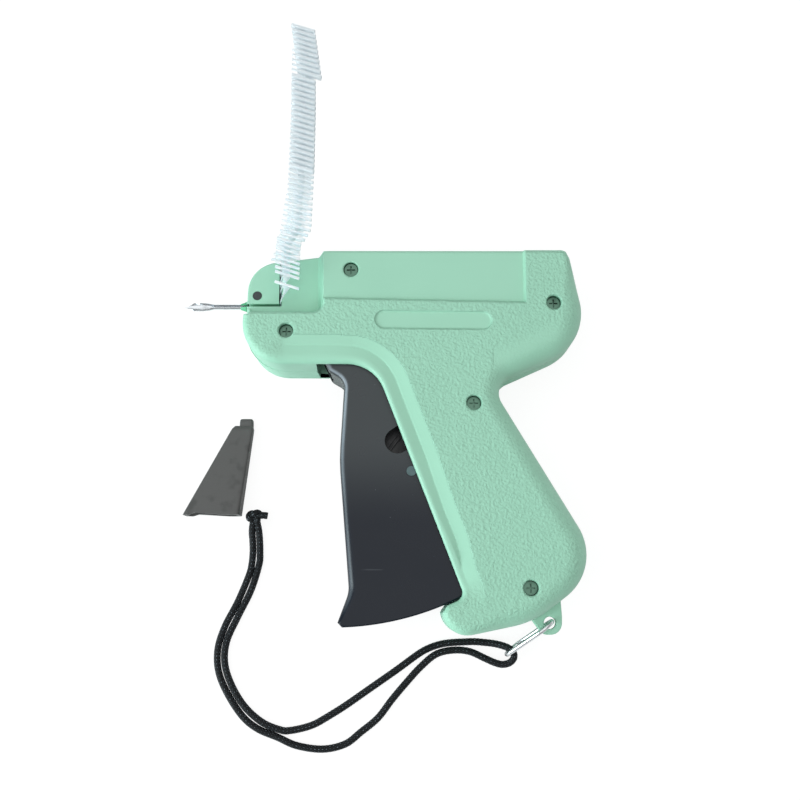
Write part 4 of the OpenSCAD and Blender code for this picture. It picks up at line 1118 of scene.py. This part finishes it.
def front_grain(line):
    """Where the front face is grained: not on the bevel, panel, plate, recess, nor low on the shoulders."""
    def paint(points):
        flat = points[:, :2]
        near = Near(line, flat)
        _, bare = bevel(near.depth, near.run)
        away, _ = recess_depth(flat)
        clear = np.minimum(np.minimum(smooth(away, 0.1, 0.7), smooth(panel_away(flat), 0.0, 0.5)),
                           smooth(plate_away(flat), 0.0, 0.3))
        tail = smooth(near.shoulder, 3.5, 6.0)
        edge = smooth(near.depth, 0.4 - 0.4 * tail, 1.6 + 3.0 * tail)
        deep = smooth(points[:, 2], 14, 20)
        under = 1 - 0.75 * smooth(-near.out[:, 1], 0.3, 0.9) * (flat[:, 0] > 52) * (flat[:, 1] > -20) * (
            1 - smooth(near.depth, 6, 12))
        # Inside the screw wells the paint goes below zero, more so with depth: painted shade, which the finish turns
        # deep green.
        return np.where(from_screws(flat) < 2.52, -smooth(25.5 - points[:, 2], 0.0, 1.4),
                        clear * edge * deep * (1 - smooth(bare, 0.1, 0.9)) * under)
    return paint


def quarter_rows(foot, out, wide, top, drop, steps=7):
    """Rows of a quarter-round edge, wide and drop in size, between a face at top and the wall over foot."""
    return [lifted(foot - out * np.reshape(wide * (1 - math.sin(a)), (-1, 1)), top + drop * (1 - math.cos(a)))
            for a in math.pi / 2 * np.arange(1, steps + 1) / steps]


def shell_rows(line, face_z, seam_z, mouth_z, seam_skip=None):
    """Rows below the outer edge: quarter shoulder, wall, then a small chamfer and a lip at the parting line.

    Works upwards or downwards, from the face at the edge towards the seam. In the mouth the wall ends at the
    inside of the face.
    """
    way = 1.0 if seam_z > face_z else -1.0

    def rows(flat, top):
        near = Near(line, flat)
        foot, out = near.foot, near.out
        open_here = (near.run > MOUTH[0]) & (near.run < MOUTH[1])
        seat = (foot[:, 0] < -28) & (np.abs(foot[:, 1] - NEEDLE_Y) < 1.2)
        end = np.where(seat, SEAM - way * 1.3, np.where(open_here, mouth_z, seam_z))
        drop = way * np.minimum(upright_radius(near, near.shoulder), np.abs(end - top) - 0.1)
        chamfer = np.where(open_here, 0.08, 0.22)
        if seam_skip is not None:
            chamfer = np.where(seam_skip(foot), 0.02, chamfer)
        low = top + drop
        return (quarter_rows(foot, out, near.shoulder, top, drop)
                + [lifted(foot, low + share * (end - way * chamfer - low)) for share in (0.35, 0.7, 1.0)]
                + [lifted(foot - out * (chamfer + inset)[:, None], end) for inset in (0.0, 1.4)])
    return rows


def well_rows(centre, bottom, floor_radius):
    """Rows down a screw's well: a small round edge, the wall, and a ring of floor."""
    def rows(flat, top):
        _, ray = about(np.array(centre), flat)
        return [lifted(centre + ray * r, z) for r, z in (
            (WELL_RADIUS - 0.03, top - 0.12), (WELL_RADIUS - 0.05, top - 0.6),
            (WELL_RADIUS - 0.07, (top + bottom) / 2), (WELL_RADIUS - 0.10, bottom), (floor_radius, bottom))]
    return rows


def straight_rows(bottom):
    """Rows straight down from a cut edge."""
    def rows(flat, top):
        return [lifted(flat, top + share * (bottom - top)) for share in (0.08, 0.5, 1.0)]
    return rows


def lug():
    """Flat lug with a round hole: its two faces, joined by walls with a small round edge."""
    line = rounded([(61.3, -82.6, 1, 0.35), (64.7, -91.4, 2, 0.35), (67.9, -95.8, 3, 0.35), (74.1, -95.8, 3.8, 0.35),
                    (74.3, -90, 3, 0.35), (73.9, -83, 1, 0.35)], 0.3)
    low, high, hole, edge = 10.0, SEAM, 2.0, 0.3
    middle, parts = (low + high) / 2, []
    for z, way in ((high, -1.0), (low, 1.0)):
        def outer(flat, top, way=way):
            near = Near(line, flat)
            return quarter_rows(near.foot, near.out, 0.35, top, way * 0.35, 4) + [lifted(near.foot, middle)]

        def inner(flat, top, way=way):
            _, ray = about(LUG_HOLE, flat)
            foot = LUG_HOLE + ray * hole
            return quarter_rows(foot, -ray, edge, top, way * edge, 3) + [lifted(foot, middle)]
        face = moulded_face((60, -97), (76, -82), 0.3, [within(line), round_hole(LUG_HOLE, hole + edge)], z,
                            [outer, inner])
        parts.append((*(face if way < 0 else flipped(face)), 0.0))
    return parts


class GUN_OT_housing(Operator):
    """Front and rear shells of the housing."""
    bl_idname = "gun.housing"
    bl_label = "Housing"

    def execute(self, context):
        material = mint_plastic()
        cell = sizes().mesh_cell / MM
        self.front(material, cell)
        self.rear(material, cell)
        return {'FINISHED'}

    @staticmethod
    def front(material, cell):
        line, made = housing_line(MOULDED), housing_line(HOUSING)
        fields = [within(line), corner_cut(-18.95, 13.45, False)] + [round_hole(at, WELL_RADIUS) for at in SCREWS]
        rows = [shell_rows(line, FRONT, SEAM + SEAM_GAP, FRONT_INSIDE), straight_rows(BESIDE_NEEDLE)]
        rows += [well_rows(at, WELL_FLOOR, 1.6) for at in SCREWS]
        skin = moulded_face(*HOUSING_BOX, cell, fields, front_height(line), rows)

        def outer(points):
            near = Near(made, points[:, :2])
            away, _ = recess_depth(points[:, :2])
            deep = skin_depth(near, points, FRONT, -1.0)
            return (near.depth < 0.35) | (deep < 1.2) | ((away < 0.3) & (points[:, 2] > 17.5))

        def drop(centre):
            x, y, z = centre.T
            away, _ = recess_depth(centre[:, :2])
            return ((Near(made, centre[:, :2]).depth < 0.4) | (np.abs(z - SEAM) < 0.02)
                    | ((from_screws(centre) < 2.75) & (z > 22.2)) | ((np.abs(away) < 0.6) & (z > 17.6))
                    | ((away < 0.3) & (z > 17.5)) | ((x < -18.9) & (y > 13.3)))
        inner = inner_faces("front_shell", outer, drop)
        points, faces, paint = joined((*skin, front_grain(line)), (*inner, 0.0))
        piece("shell_front", points, faces, material, "gun_body", ["front_shell"], paint)

    @staticmethod
    def rear(material, cell):
        line, made = housing_line(MOULDED, True), housing_line(HOUSING, True)
        x0, y0 = corner = (-19.85, 14.4)

        def skip(foot):
            return (foot[:, 0] < x0) & (foot[:, 1] > y0)

        def raised(flat, top):
            near = Near(line, flat)
            seat = near.foot[:, 1] < 16.2
            return quarter_rows(near.foot, near.out, 0.5, top, -0.5, 4) + [
                lifted(near.foot, np.where(seat, max(z, BESIDE_NEEDLE), z)) for z in (15.2, 12.95)]

        down, seam = straight_rows(POCKET_Z), SEAM - SEAM_GAP
        back = flipped(moulded_face(*HOUSING_BOX, cell * 1.25, [within(line), pocket(1.0)], 0.0,
                                    [shell_rows(line, 0.0, seam, REAR_INSIDE, skip), down]))
        floor = flipped(moulded_face((-33, 10), (-20, 30), cell, [within(line), pocket(-1.0)], POCKET_Z,
                                     [shell_rows(line, POCKET_Z, seam, POCKET_Z + 1, skip), down]))
        nose = moulded_face((-33, 14), (-19, 32), 0.3,
                            [within(line), corner_cut(*corner, True), round_hole(LOCK, 1.62)], NOSE_FACE,
                            [raised, straight_rows(BESIDE_NEEDLE), straight_rows(13.2)])

        def grain(points):
            near = Near(line, points[:, :2])
            return smooth(near.depth, 0.5, 3.0) * 0.8 * (points[:, 2] < 7)

        def outer(points):
            near = Near(made, points[:, :2])
            return (near.depth < 0.35) | (skin_depth(near, points, 0.0, 1.0) < 0.6)

        def drop(centre):
            x, y, z = centre.T
            depth = Near(made, centre[:, :2]).depth
            quadrant = (x < x0 + 0.1) & (y > y0 - 0.1)
            inside = pocket(-1.0)(centre[:, :2])[0] > -0.1
            return ((depth < 0.4) | ((np.abs(z - SEAM) < 0.02) & (depth < 2.2)) | (quadrant & (z > 17.6))
                    | (inside & (z < POCKET_Z + 0.1)))
        inner = inner_faces("rear_shell", outer, drop)
        points, faces, paint = joined((*back, grain), (*floor, 0.0), (*nose, 0.0), *lug(), (*inner, 0.0))
        piece("shell_rear", points, faces, material, "gun_body", ["rear_shell"], paint)


# ---------------------------------------------------------------- squeeze grip

class GUN_OT_grip(Operator):
    """Squeeze grip: a channel with round front edges, its side plates slotted."""
    bl_idname = "gun.grip"
    bl_label = "Squeeze grip"

    def execute(self, context):
        line, made = self.outline(GRIP[:1] + GRIP_FRONT + GRIP[4:]), self.outline(GRIP)
        slot = SLOT_REACH * rays(np.radians(np.linspace(-38.4, -58.4, 24)))
        fields = [within(line), path_hole(slot, SLOT_HALF), round_hole(DRIVE_PIN, DRIVE_PIN_HOLE)]
        cell = sizes().mesh_cell / MM * 0.95
        web = self.front_run(line)

        def outer(way):
            def rows(flat, top):
                near = Near(line, flat)
                channel = ~((near.run > web[0]) & (near.run < web[1]))
                end = np.where(channel, top + way * 2.5, SEAM)
                drop = way * np.minimum(np.minimum(near.shoulder, 3.0), np.abs(end - top) - 0.1)
                low, lip = top + drop, np.where(channel, 0.5, 0.0)
                return (quarter_rows(near.foot, near.out, near.shoulder, top, drop)
                        + [lifted(near.foot, low + share * (end - low)) for share in (0.5, 1.0)]
                        + [lifted(near.foot - near.out * lip[:, None], end)])
            return rows

        def outer_faces(points):
            near = Near(made, points[:, :2])
            skins = [skin_depth(near, points, z, way) < 0.3 for z, way in GRIP_SIDES]
            return (near.depth < 0.3) | skins[0] | skins[1]

        def drop(centre):
            return Near(made, centre[:, :2]).depth < 0.3

        # Painted highlight: a bluish strip along the round of the front edge, strongest near the top.
        def painted_highlight(points):
            near = Near(line, points[:, :2])
            front = smooth(near.run, web[0] - 7, web[0] - 2) * (points[:, 0] < 12)
            front *= (0.20 + 0.80 * smooth(points[:, 1], -60, -13)) * smooth(points[:, 1], -90, -84)
            return front * smooth(near.depth, 0.25, 0.8) * (1 - smooth(near.depth, 0.9, 1.7)) * (points[:, 2] > 19)
        parts = []
        for z, way in GRIP_SIDES:
            down = straight_rows(z + way * 2.5)
            parts.append(moulded_face((-8, -94.5), (50, 24), cell * (1.0 if way < 0 else 1.5), fields, z,
                                      [outer(way), down, down]))
        near_side, far_side = parts
        points, faces, paint = joined((*near_side, painted_highlight), (*flipped(far_side), 0.0),
                                      (*inner_faces("trigger", outer_faces, drop), 0.0))
        piece("grip", points, faces, grip_plastic(), "trigger_body", ["trigger"], paint, sharp=38)
        return {'FINISHED'}

    @staticmethod
    def outline(corners):
        """Outline of the grip, ended by an arc about its pivot."""
        line = rounded(corners, 0.5)
        past = np.hypot(line[:, 0], line[:, 1]) > GRIP_REACH - 0.1
        first = np.flatnonzero(past & ~np.roll(past, 1))[0]
        kept = np.roll(line, -first, 0)[~np.roll(past, -first)]
        start, end = math.atan2(kept[-1, 1], kept[-1, 0]), math.atan2(kept[0, 1], kept[0, 0])
        ray = rays(np.linspace(start, end, int(abs(end - start) * GRIP_REACH / 0.5))[1:-1])
        line = np.vstack([kept, np.hstack([ray * GRIP_REACH, ray, np.full((len(ray), 2), 0.6)])])
        line[:, 4], line[:, 5] = eased(line[:, 4]), run_along(line[:, :2])
        return line

    @staticmethod
    def front_run(line):
        """Lengths along the outline between which the grip has its front and bottom web."""
        run = line[:, 5]
        start = run[np.argmin(np.hypot(line[:, 0] + 2.0, line[:, 1] + 11.0))]
        end = run[np.argmin(np.hypot(line[:, 0] - 46.6, line[:, 1] + 80.8))]
        return start, end


# ---------------------------------------------------------------- needle and clip

# Tag pins: distance between two, X of the first, width, Z of paddles and runner, Y from which paddles lie packed
PITCH, FIRST_X, PIN_WIDTH, PADDLE_Z, RUNNER_Z, PACKED_FROM = 1.92, -19.4, 8.4, 28.6, 10.7, 57
HEXAGON = rays(turns(6, 0.5))


class GUN_OT_needle(Operator):
    """Hollow slotted needle with its leaf-shaped tip."""
    bl_idname = "gun.needle"
    bl_label = "Needle"

    def execute(self, context):
        x = np.concatenate([np.linspace(-24.0, -42.0, 60), np.linspace(-42.2, -53.3, 60)])[:, None]
        t = np.clip((-42.9 - x) / 10.4, 0, 1)
        leaf = np.sin(np.pi * t ** 0.85)
        # Half height (along Y) and half depth (along Z) of the tube and of its bore
        tall, deep, bore_deep = 0.88 + 0.62 * leaf, 0.88, 0.64
        bore_tall = np.maximum(0.64, tall - 0.3)
        # The slot opens towards the tip until a pointed spoon is left behind the pins
        sides = 40
        a = np.radians(270 + (152 - 146 * smooth(t, 0.35, 1.0)) * np.linspace(-1, 1, sides))
        outer, bore = [np.stack([x + 0 * a, NEEDLE_Y + high * np.cos(a), SEAM + far * np.sin(a)], -1)
                       for high, far in ((tall, deep), (bore_tall, bore_deep))]
        points = np.concatenate([outer, bore[:, ::-1]], 1).reshape(-1, 3)
        piece("needle_tube", points, tube_faces(len(x), 2 * sides)[:, ::-1],
              steel("needle_steel", (0.74, 0.78, 0.81), 0.18), "gun_body", ["needle"], sharp=35)
        return {'FINISHED'}


def capsule(length, half_y, half_z):
    """Bar along X with rounded ends: a section that shrinks on a quarter circle at each end."""
    sides, turn = 8, math.pi / 2 * np.array([0.12, 0.5, 1.0])
    end, size = length / 2 - half_y * (1 - np.sin(turn)), np.sin(turn)
    x = np.concatenate([-end, [0.0], end[::-1]])
    size = np.concatenate([size, [0.94], size[::-1]])
    section = squared(rays(turns(sides, 0.5)), 0.6) * [half_y, half_z]
    points = [np.hstack([np.full((sides, 1), at), section * share]) for at, share in zip(x, size)]
    return np.vstack(points), tube_faces(len(x), sides)


class GUN_OT_clip(Operator):
    """Clip of tag pins: cross bars and runner behind, filaments, and the row of paddles in front."""
    bl_idname = "gun.clip"
    bl_label = "Tag pin clip"

    def execute(self, context):
        k = np.arange(2, sizes().fasteners + 1)
        run = k * PITCH
        x = FIRST_X + np.interp(run, [17.28, 19.6, 24.5, 42.3, 66.3, 120], [0, 1.1, 2.3, 5.1, 5.7, 5.7])
        y = NEEDLE_Y + run
        lean = np.interp(run, [0, 16.3, 23.3, 42.3, 77, 78, 96], [3.3, 3.5, 4.9, 2.5, 1.9, 4, 1.4])
        up = np.interp(run, [0, 3.84, 23, 30], [3, 2.7, 0.2, 0])
        nylon = tag_nylon()
        points, faces = merged(self.bars(k, x, y), self.necks(x, y), self.filaments(x, y, lean, up),
                               self.paddles(x, y, lean, up), self.runner(x, y))
        piece("tag_pins", points, faces, nylon, "clip_body", ["fastener_clip"], sharp=50)
        x, y, lean, up = (np.array([v]) for v in (FIRST_X, NEEDLE_Y, 3.3, 3.0))
        points, faces = merged(self.bars(np.array([0]), x, y), self.filaments(x, y, lean, up),
                               self.paddles(x, y, lean, up))
        piece("first_pin", points, faces, nylon, "slide_body", ["loaded_pin"], sharp=50)
        return {'FINISHED'}

    @staticmethod
    def repeated(mesh, turn, place):
        """A shape turned about Z and set at each place, all as one mesh."""
        shape, faces = mesh
        c, s = np.cos(turn)[:, None], np.sin(turn)[:, None]
        x, y, z = shape.T
        moved = np.stack([x * c - y * s, x * s + y * c, z + 0 * c], -1) + place[:, None]
        base = len(shape) * np.arange(len(turn))[:, None, None]
        return moved.reshape(-1, 3), (faces + base).reshape(-1, faces.shape[1])

    def bars(self, k, x, y):
        turn = np.where(k > 10, math.radians(-15), 0.0)
        return self.repeated(capsule(PIN_WIDTH, 0.42, 0.40), turn, lifted(np.stack([x, y], 1), SEAM))

    def paddles(self, x, y, lean, up):
        """Paddles that stand apart near the gun and lie packed as a sheet further out."""
        place, turn = lifted(np.stack([x + lean, y + up], 1), PADDLE_Z), np.radians(np.full(len(x), -18.0))
        loose = y < PACKED_FROM
        return merged(self.repeated(capsule(PIN_WIDTH, 0.46, 0.65), turn[loose], place[loose]),
                      self.repeated(capsule(PIN_WIDTH, 0.70, 1.2), turn[~loose], place[~loose]))

    def necks(self, x, y):
        """Short necks that join the cross bars to the runner."""
        shape = np.vstack([lifted(r * HEXAGON, z) for z, r in ((11.2, 0.36), (11.7, 0.26), (12.3, 0.24), (12.9, 0.30))])
        return self.repeated((shape, tube_faces(4, 6)), np.zeros(len(x)), lifted(np.stack([x, y], 1), 0.0))

    def filaments(self, x, y, lean, up):
        """Thin filament from each cross bar: straight up the slot, then over in a soft curve to its paddle."""
        z = np.array([13.1, 14.6, 16.2, 17.8, 19.2, 20.8, 22.6, 24.6, 26.4, 28.3])
        share = (smooth(z, 17.6, 27.8) * 0.5 + np.clip((z - 18.4) / 9.4, 0, 1) * 0.5)[:, None]
        r = np.interp(z, [13.1, 14.6, 22.0, 27.7], [0.30, 0.20, 0.22, 0.50])
        wide = np.interp(z, [13.1, 14.6, 22.0, 25.0, 28.3], [0.30, 0.20, 0.26, 0.80, 1.60])
        section = HEXAGON * np.stack([wide, r], 1)[:, None]
        faces = tube_faces(len(z), 6)
        return merged(*[(np.stack([at_x + share * dx + section[..., 0], at_y + share * dy + section[..., 1],
                                   z[:, None] + 0 * section[..., 0]], -1).reshape(-1, 3), faces)
                        for at_x, at_y, dx, dy in zip(x, y, lean, up)])

    def runner(self, x, y):
        """Bar of squared section along the ends of the necks."""
        sides = 12
        line, _ = spline(np.stack([x, y], 1), 0.6)
        along = unit(np.gradient(line, axis=0))
        across = np.stack([along[:, 1], -along[:, 0]], 1)
        u, w = squared(rays(turns(sides, 0.5)), 0.5).T * [[0.7], [0.6]]
        points = [lifted(at + way * u[:, None], RUNNER_Z + w) for at, way in zip(line, across)]
        return np.vstack(points), tube_faces(len(line), sides)[:, ::-1]


# ---------------------------------------------------------------- metal and inner pieces kept from the frame

class GUN_OT_lever(Operator):
    """Actuating lever with a dark fan that shows through the grip's slot: a sheet of black plastic that stands in for
    the shade there.
    """
    bl_idname = "gun.lever"
    bl_label = "Lever"

    def execute(self, context):
        post = np.array([30.8, -24.41])
        rim = post + rays(np.radians([188, 195, 202, 210, 218, 226, 234, 240, 243])) * np.array(
            [[14.0], [16.2], [17.4], [17.6], [17.6], [17.6], [17.6], [17.6], [17.0]])
        root = post + 4.2 * rays(np.radians(np.linspace(188, 218, 9)))
        # Painted shade: a dark fan of black plastic about the post, filling the view through the grip's slot where
        # there is only shade.
        parts = [self.block(np.vstack([rim, root[::-1]]), 10.4, 14.0)]
        for a, b, half, top in (((17.6, -36.2), (21.8, -30.6), 0.22, 15.2), ((16.6, -34.6), (20.4, -29.4), 0.75, 14.8)):
            run = unit(np.subtract(b, a))
            side = half * np.array([-run[1], run[0]])
            parts.append(self.block(np.array([a + side, a - side, b - side, b + side]), 13.9, top))
        points, faces = merged(inner_faces("actuating_lever"), *parts)
        piece("lever", *tidy(points, faces), plain_plastic("lever_plastic", (0.022, 0.026, 0.030), 0.36), "lever_body",
              ["actuating_lever"], sharp=35)
        return {'FINISHED'}

    @staticmethod
    def block(outline, low, high):
        """Upright block over a flat outline of an even number of corners, against the clock, as triangles."""
        n = len(outline)
        points = np.vstack([lifted(outline, low), lifted(outline, high)])
        k, i = np.arange(n), np.arange(n // 2 - 1)
        k2 = (k + 1) % n
        walls = [np.stack([k, k2, n + k2], 1), np.stack([k, n + k2, n + k], 1)]
        cap = np.vstack([np.stack([i, i + 1, n - 2 - i], 1), np.stack([i, n - 2 - i, n - 1 - i], 1)])
        return points, np.vstack([*walls, cap[:, ::-1], cap + n])


class GUN_OT_inner_pieces(Operator):
    """Finishes for the screws, pins, drive and feed pieces that keep their own shape."""
    bl_idname = "gun.inner_pieces"
    bl_label = "Screws and drive"

    def execute(self, context):
        metal = steel("pin_steel", (0.62, 0.64, 0.66), 0.30)
        # Painted shade: the screws are tinted dark green, as the shade and green walls of their wells make them look.
        screw = steel("screw_steel", (0.12, 0.22, 0.165), 0.40)
        pressed = steel("drive_pin_steel", (0.10, 0.15, 0.155), 0.36)
        spring = steel("spring_steel", (0.55, 0.56, 0.58), 0.26)
        dark = plain_plastic("lever_plastic", (0.030, 0.033, 0.036), 0.42)
        white = plain_plastic("slide_plastic", (0.60, 0.62, 0.60), 0.38)
        green = plain_plastic("base_plastic", (0.090, 0.46, 0.235), 0.40)
        lock = plain_plastic("lock_plastic", (0.030, 0.042, 0.042), 0.45)
        for node, material in {
                "housing_screws": screw, "trigger_pivot_pin": metal, "lever_post": dark, "drive_pin": pressed,
                "slide": white, "slide_pin": metal, "ejector_rod": metal,
                "rod_clamp_screw": metal, "feed_wheel": white, "feed_axle": metal, "feed_pawl": white,
                "pawl_pin": metal, "needle_base": green, "needle_lock": lock}.items():
            self.finish(frame["nodes"][node], material)
        self.springs(spring)
        return {'FINISHED'}

    @staticmethod
    def springs(material):
        """The two springs, which flatten towards their seats as the trigger and the pawl move."""
        low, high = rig.box("pawl_spring")
        pawl_seat = ((low[0] + high[0]) / 2, (low[1] + high[1]) / 2, low[2])
        for name, node, joint, axis, seat, keep in (
                ("coil_spring", "return_spring", "trigger_squeeze", (0.815, 0.579, 0.0),
                 (0.0619, -0.0411, 0.013), 0.27),
                ("leaf_spring", "pawl_spring", "pawl_lift", (0.0, 0.0, 1.0), pawl_seat, 0.45)):
            made = piece(name, *inner_faces(node), material, "gun_body", [node], sharp=35)
            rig.squash(made, joint, axis, seat, keep=keep)

    @staticmethod
    def finish(node, material):
        node.data.materials.clear()
        node.data.materials.append(material)


# ---------------------------------------------------------------- panel and registration

class GUN_PT_build(Panel):
    """Lists the steps that build the gun's looks."""
    bl_label = "Tagging gun"
    bl_space_type = 'VIEW_3D'
    bl_region_type = 'UI'
    bl_category = "Tagging gun"

    def draw(self, context):
        for group in (context.scene.gun_sizes, context.scene.gun_colours):
            for name in group.__annotations__:
                self.layout.prop(group, name)
        for step in STEPS:
            self.layout.operator(step.bl_idname)


STEPS = (GUN_OT_stage, GUN_OT_tether, GUN_OT_ring, GUN_OT_guard, GUN_OT_housing, GUN_OT_grip, GUN_OT_needle,
         GUN_OT_clip, GUN_OT_lever, GUN_OT_inner_pieces)
CLASSES = (GunSizes, GunColours) + STEPS + (GUN_PT_build,)


def register():
    for cls in CLASSES:
        bpy.utils.register_class(cls)
    bpy.types.Scene.gun_sizes = PointerProperty(type=GunSizes)
    bpy.types.Scene.gun_colours = PointerProperty(type=GunColours)


def unregister():
    del bpy.types.Scene.gun_colours
    del bpy.types.Scene.gun_sizes
    for cls in reversed(CLASSES):
        bpy.utils.unregister_class(cls)


def main():
    register()
    for step in STEPS:
        group, name = step.bl_idname.split(".")
        getattr(getattr(bpy.ops, group), name)()
    box = [[float(c) for c in corner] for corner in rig.bounds()]
    with open("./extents.json", "w") as out:
        json.dump({"cad": CAD_BOX, "visual": box}, out)


if __name__ == "__main__":
    main()
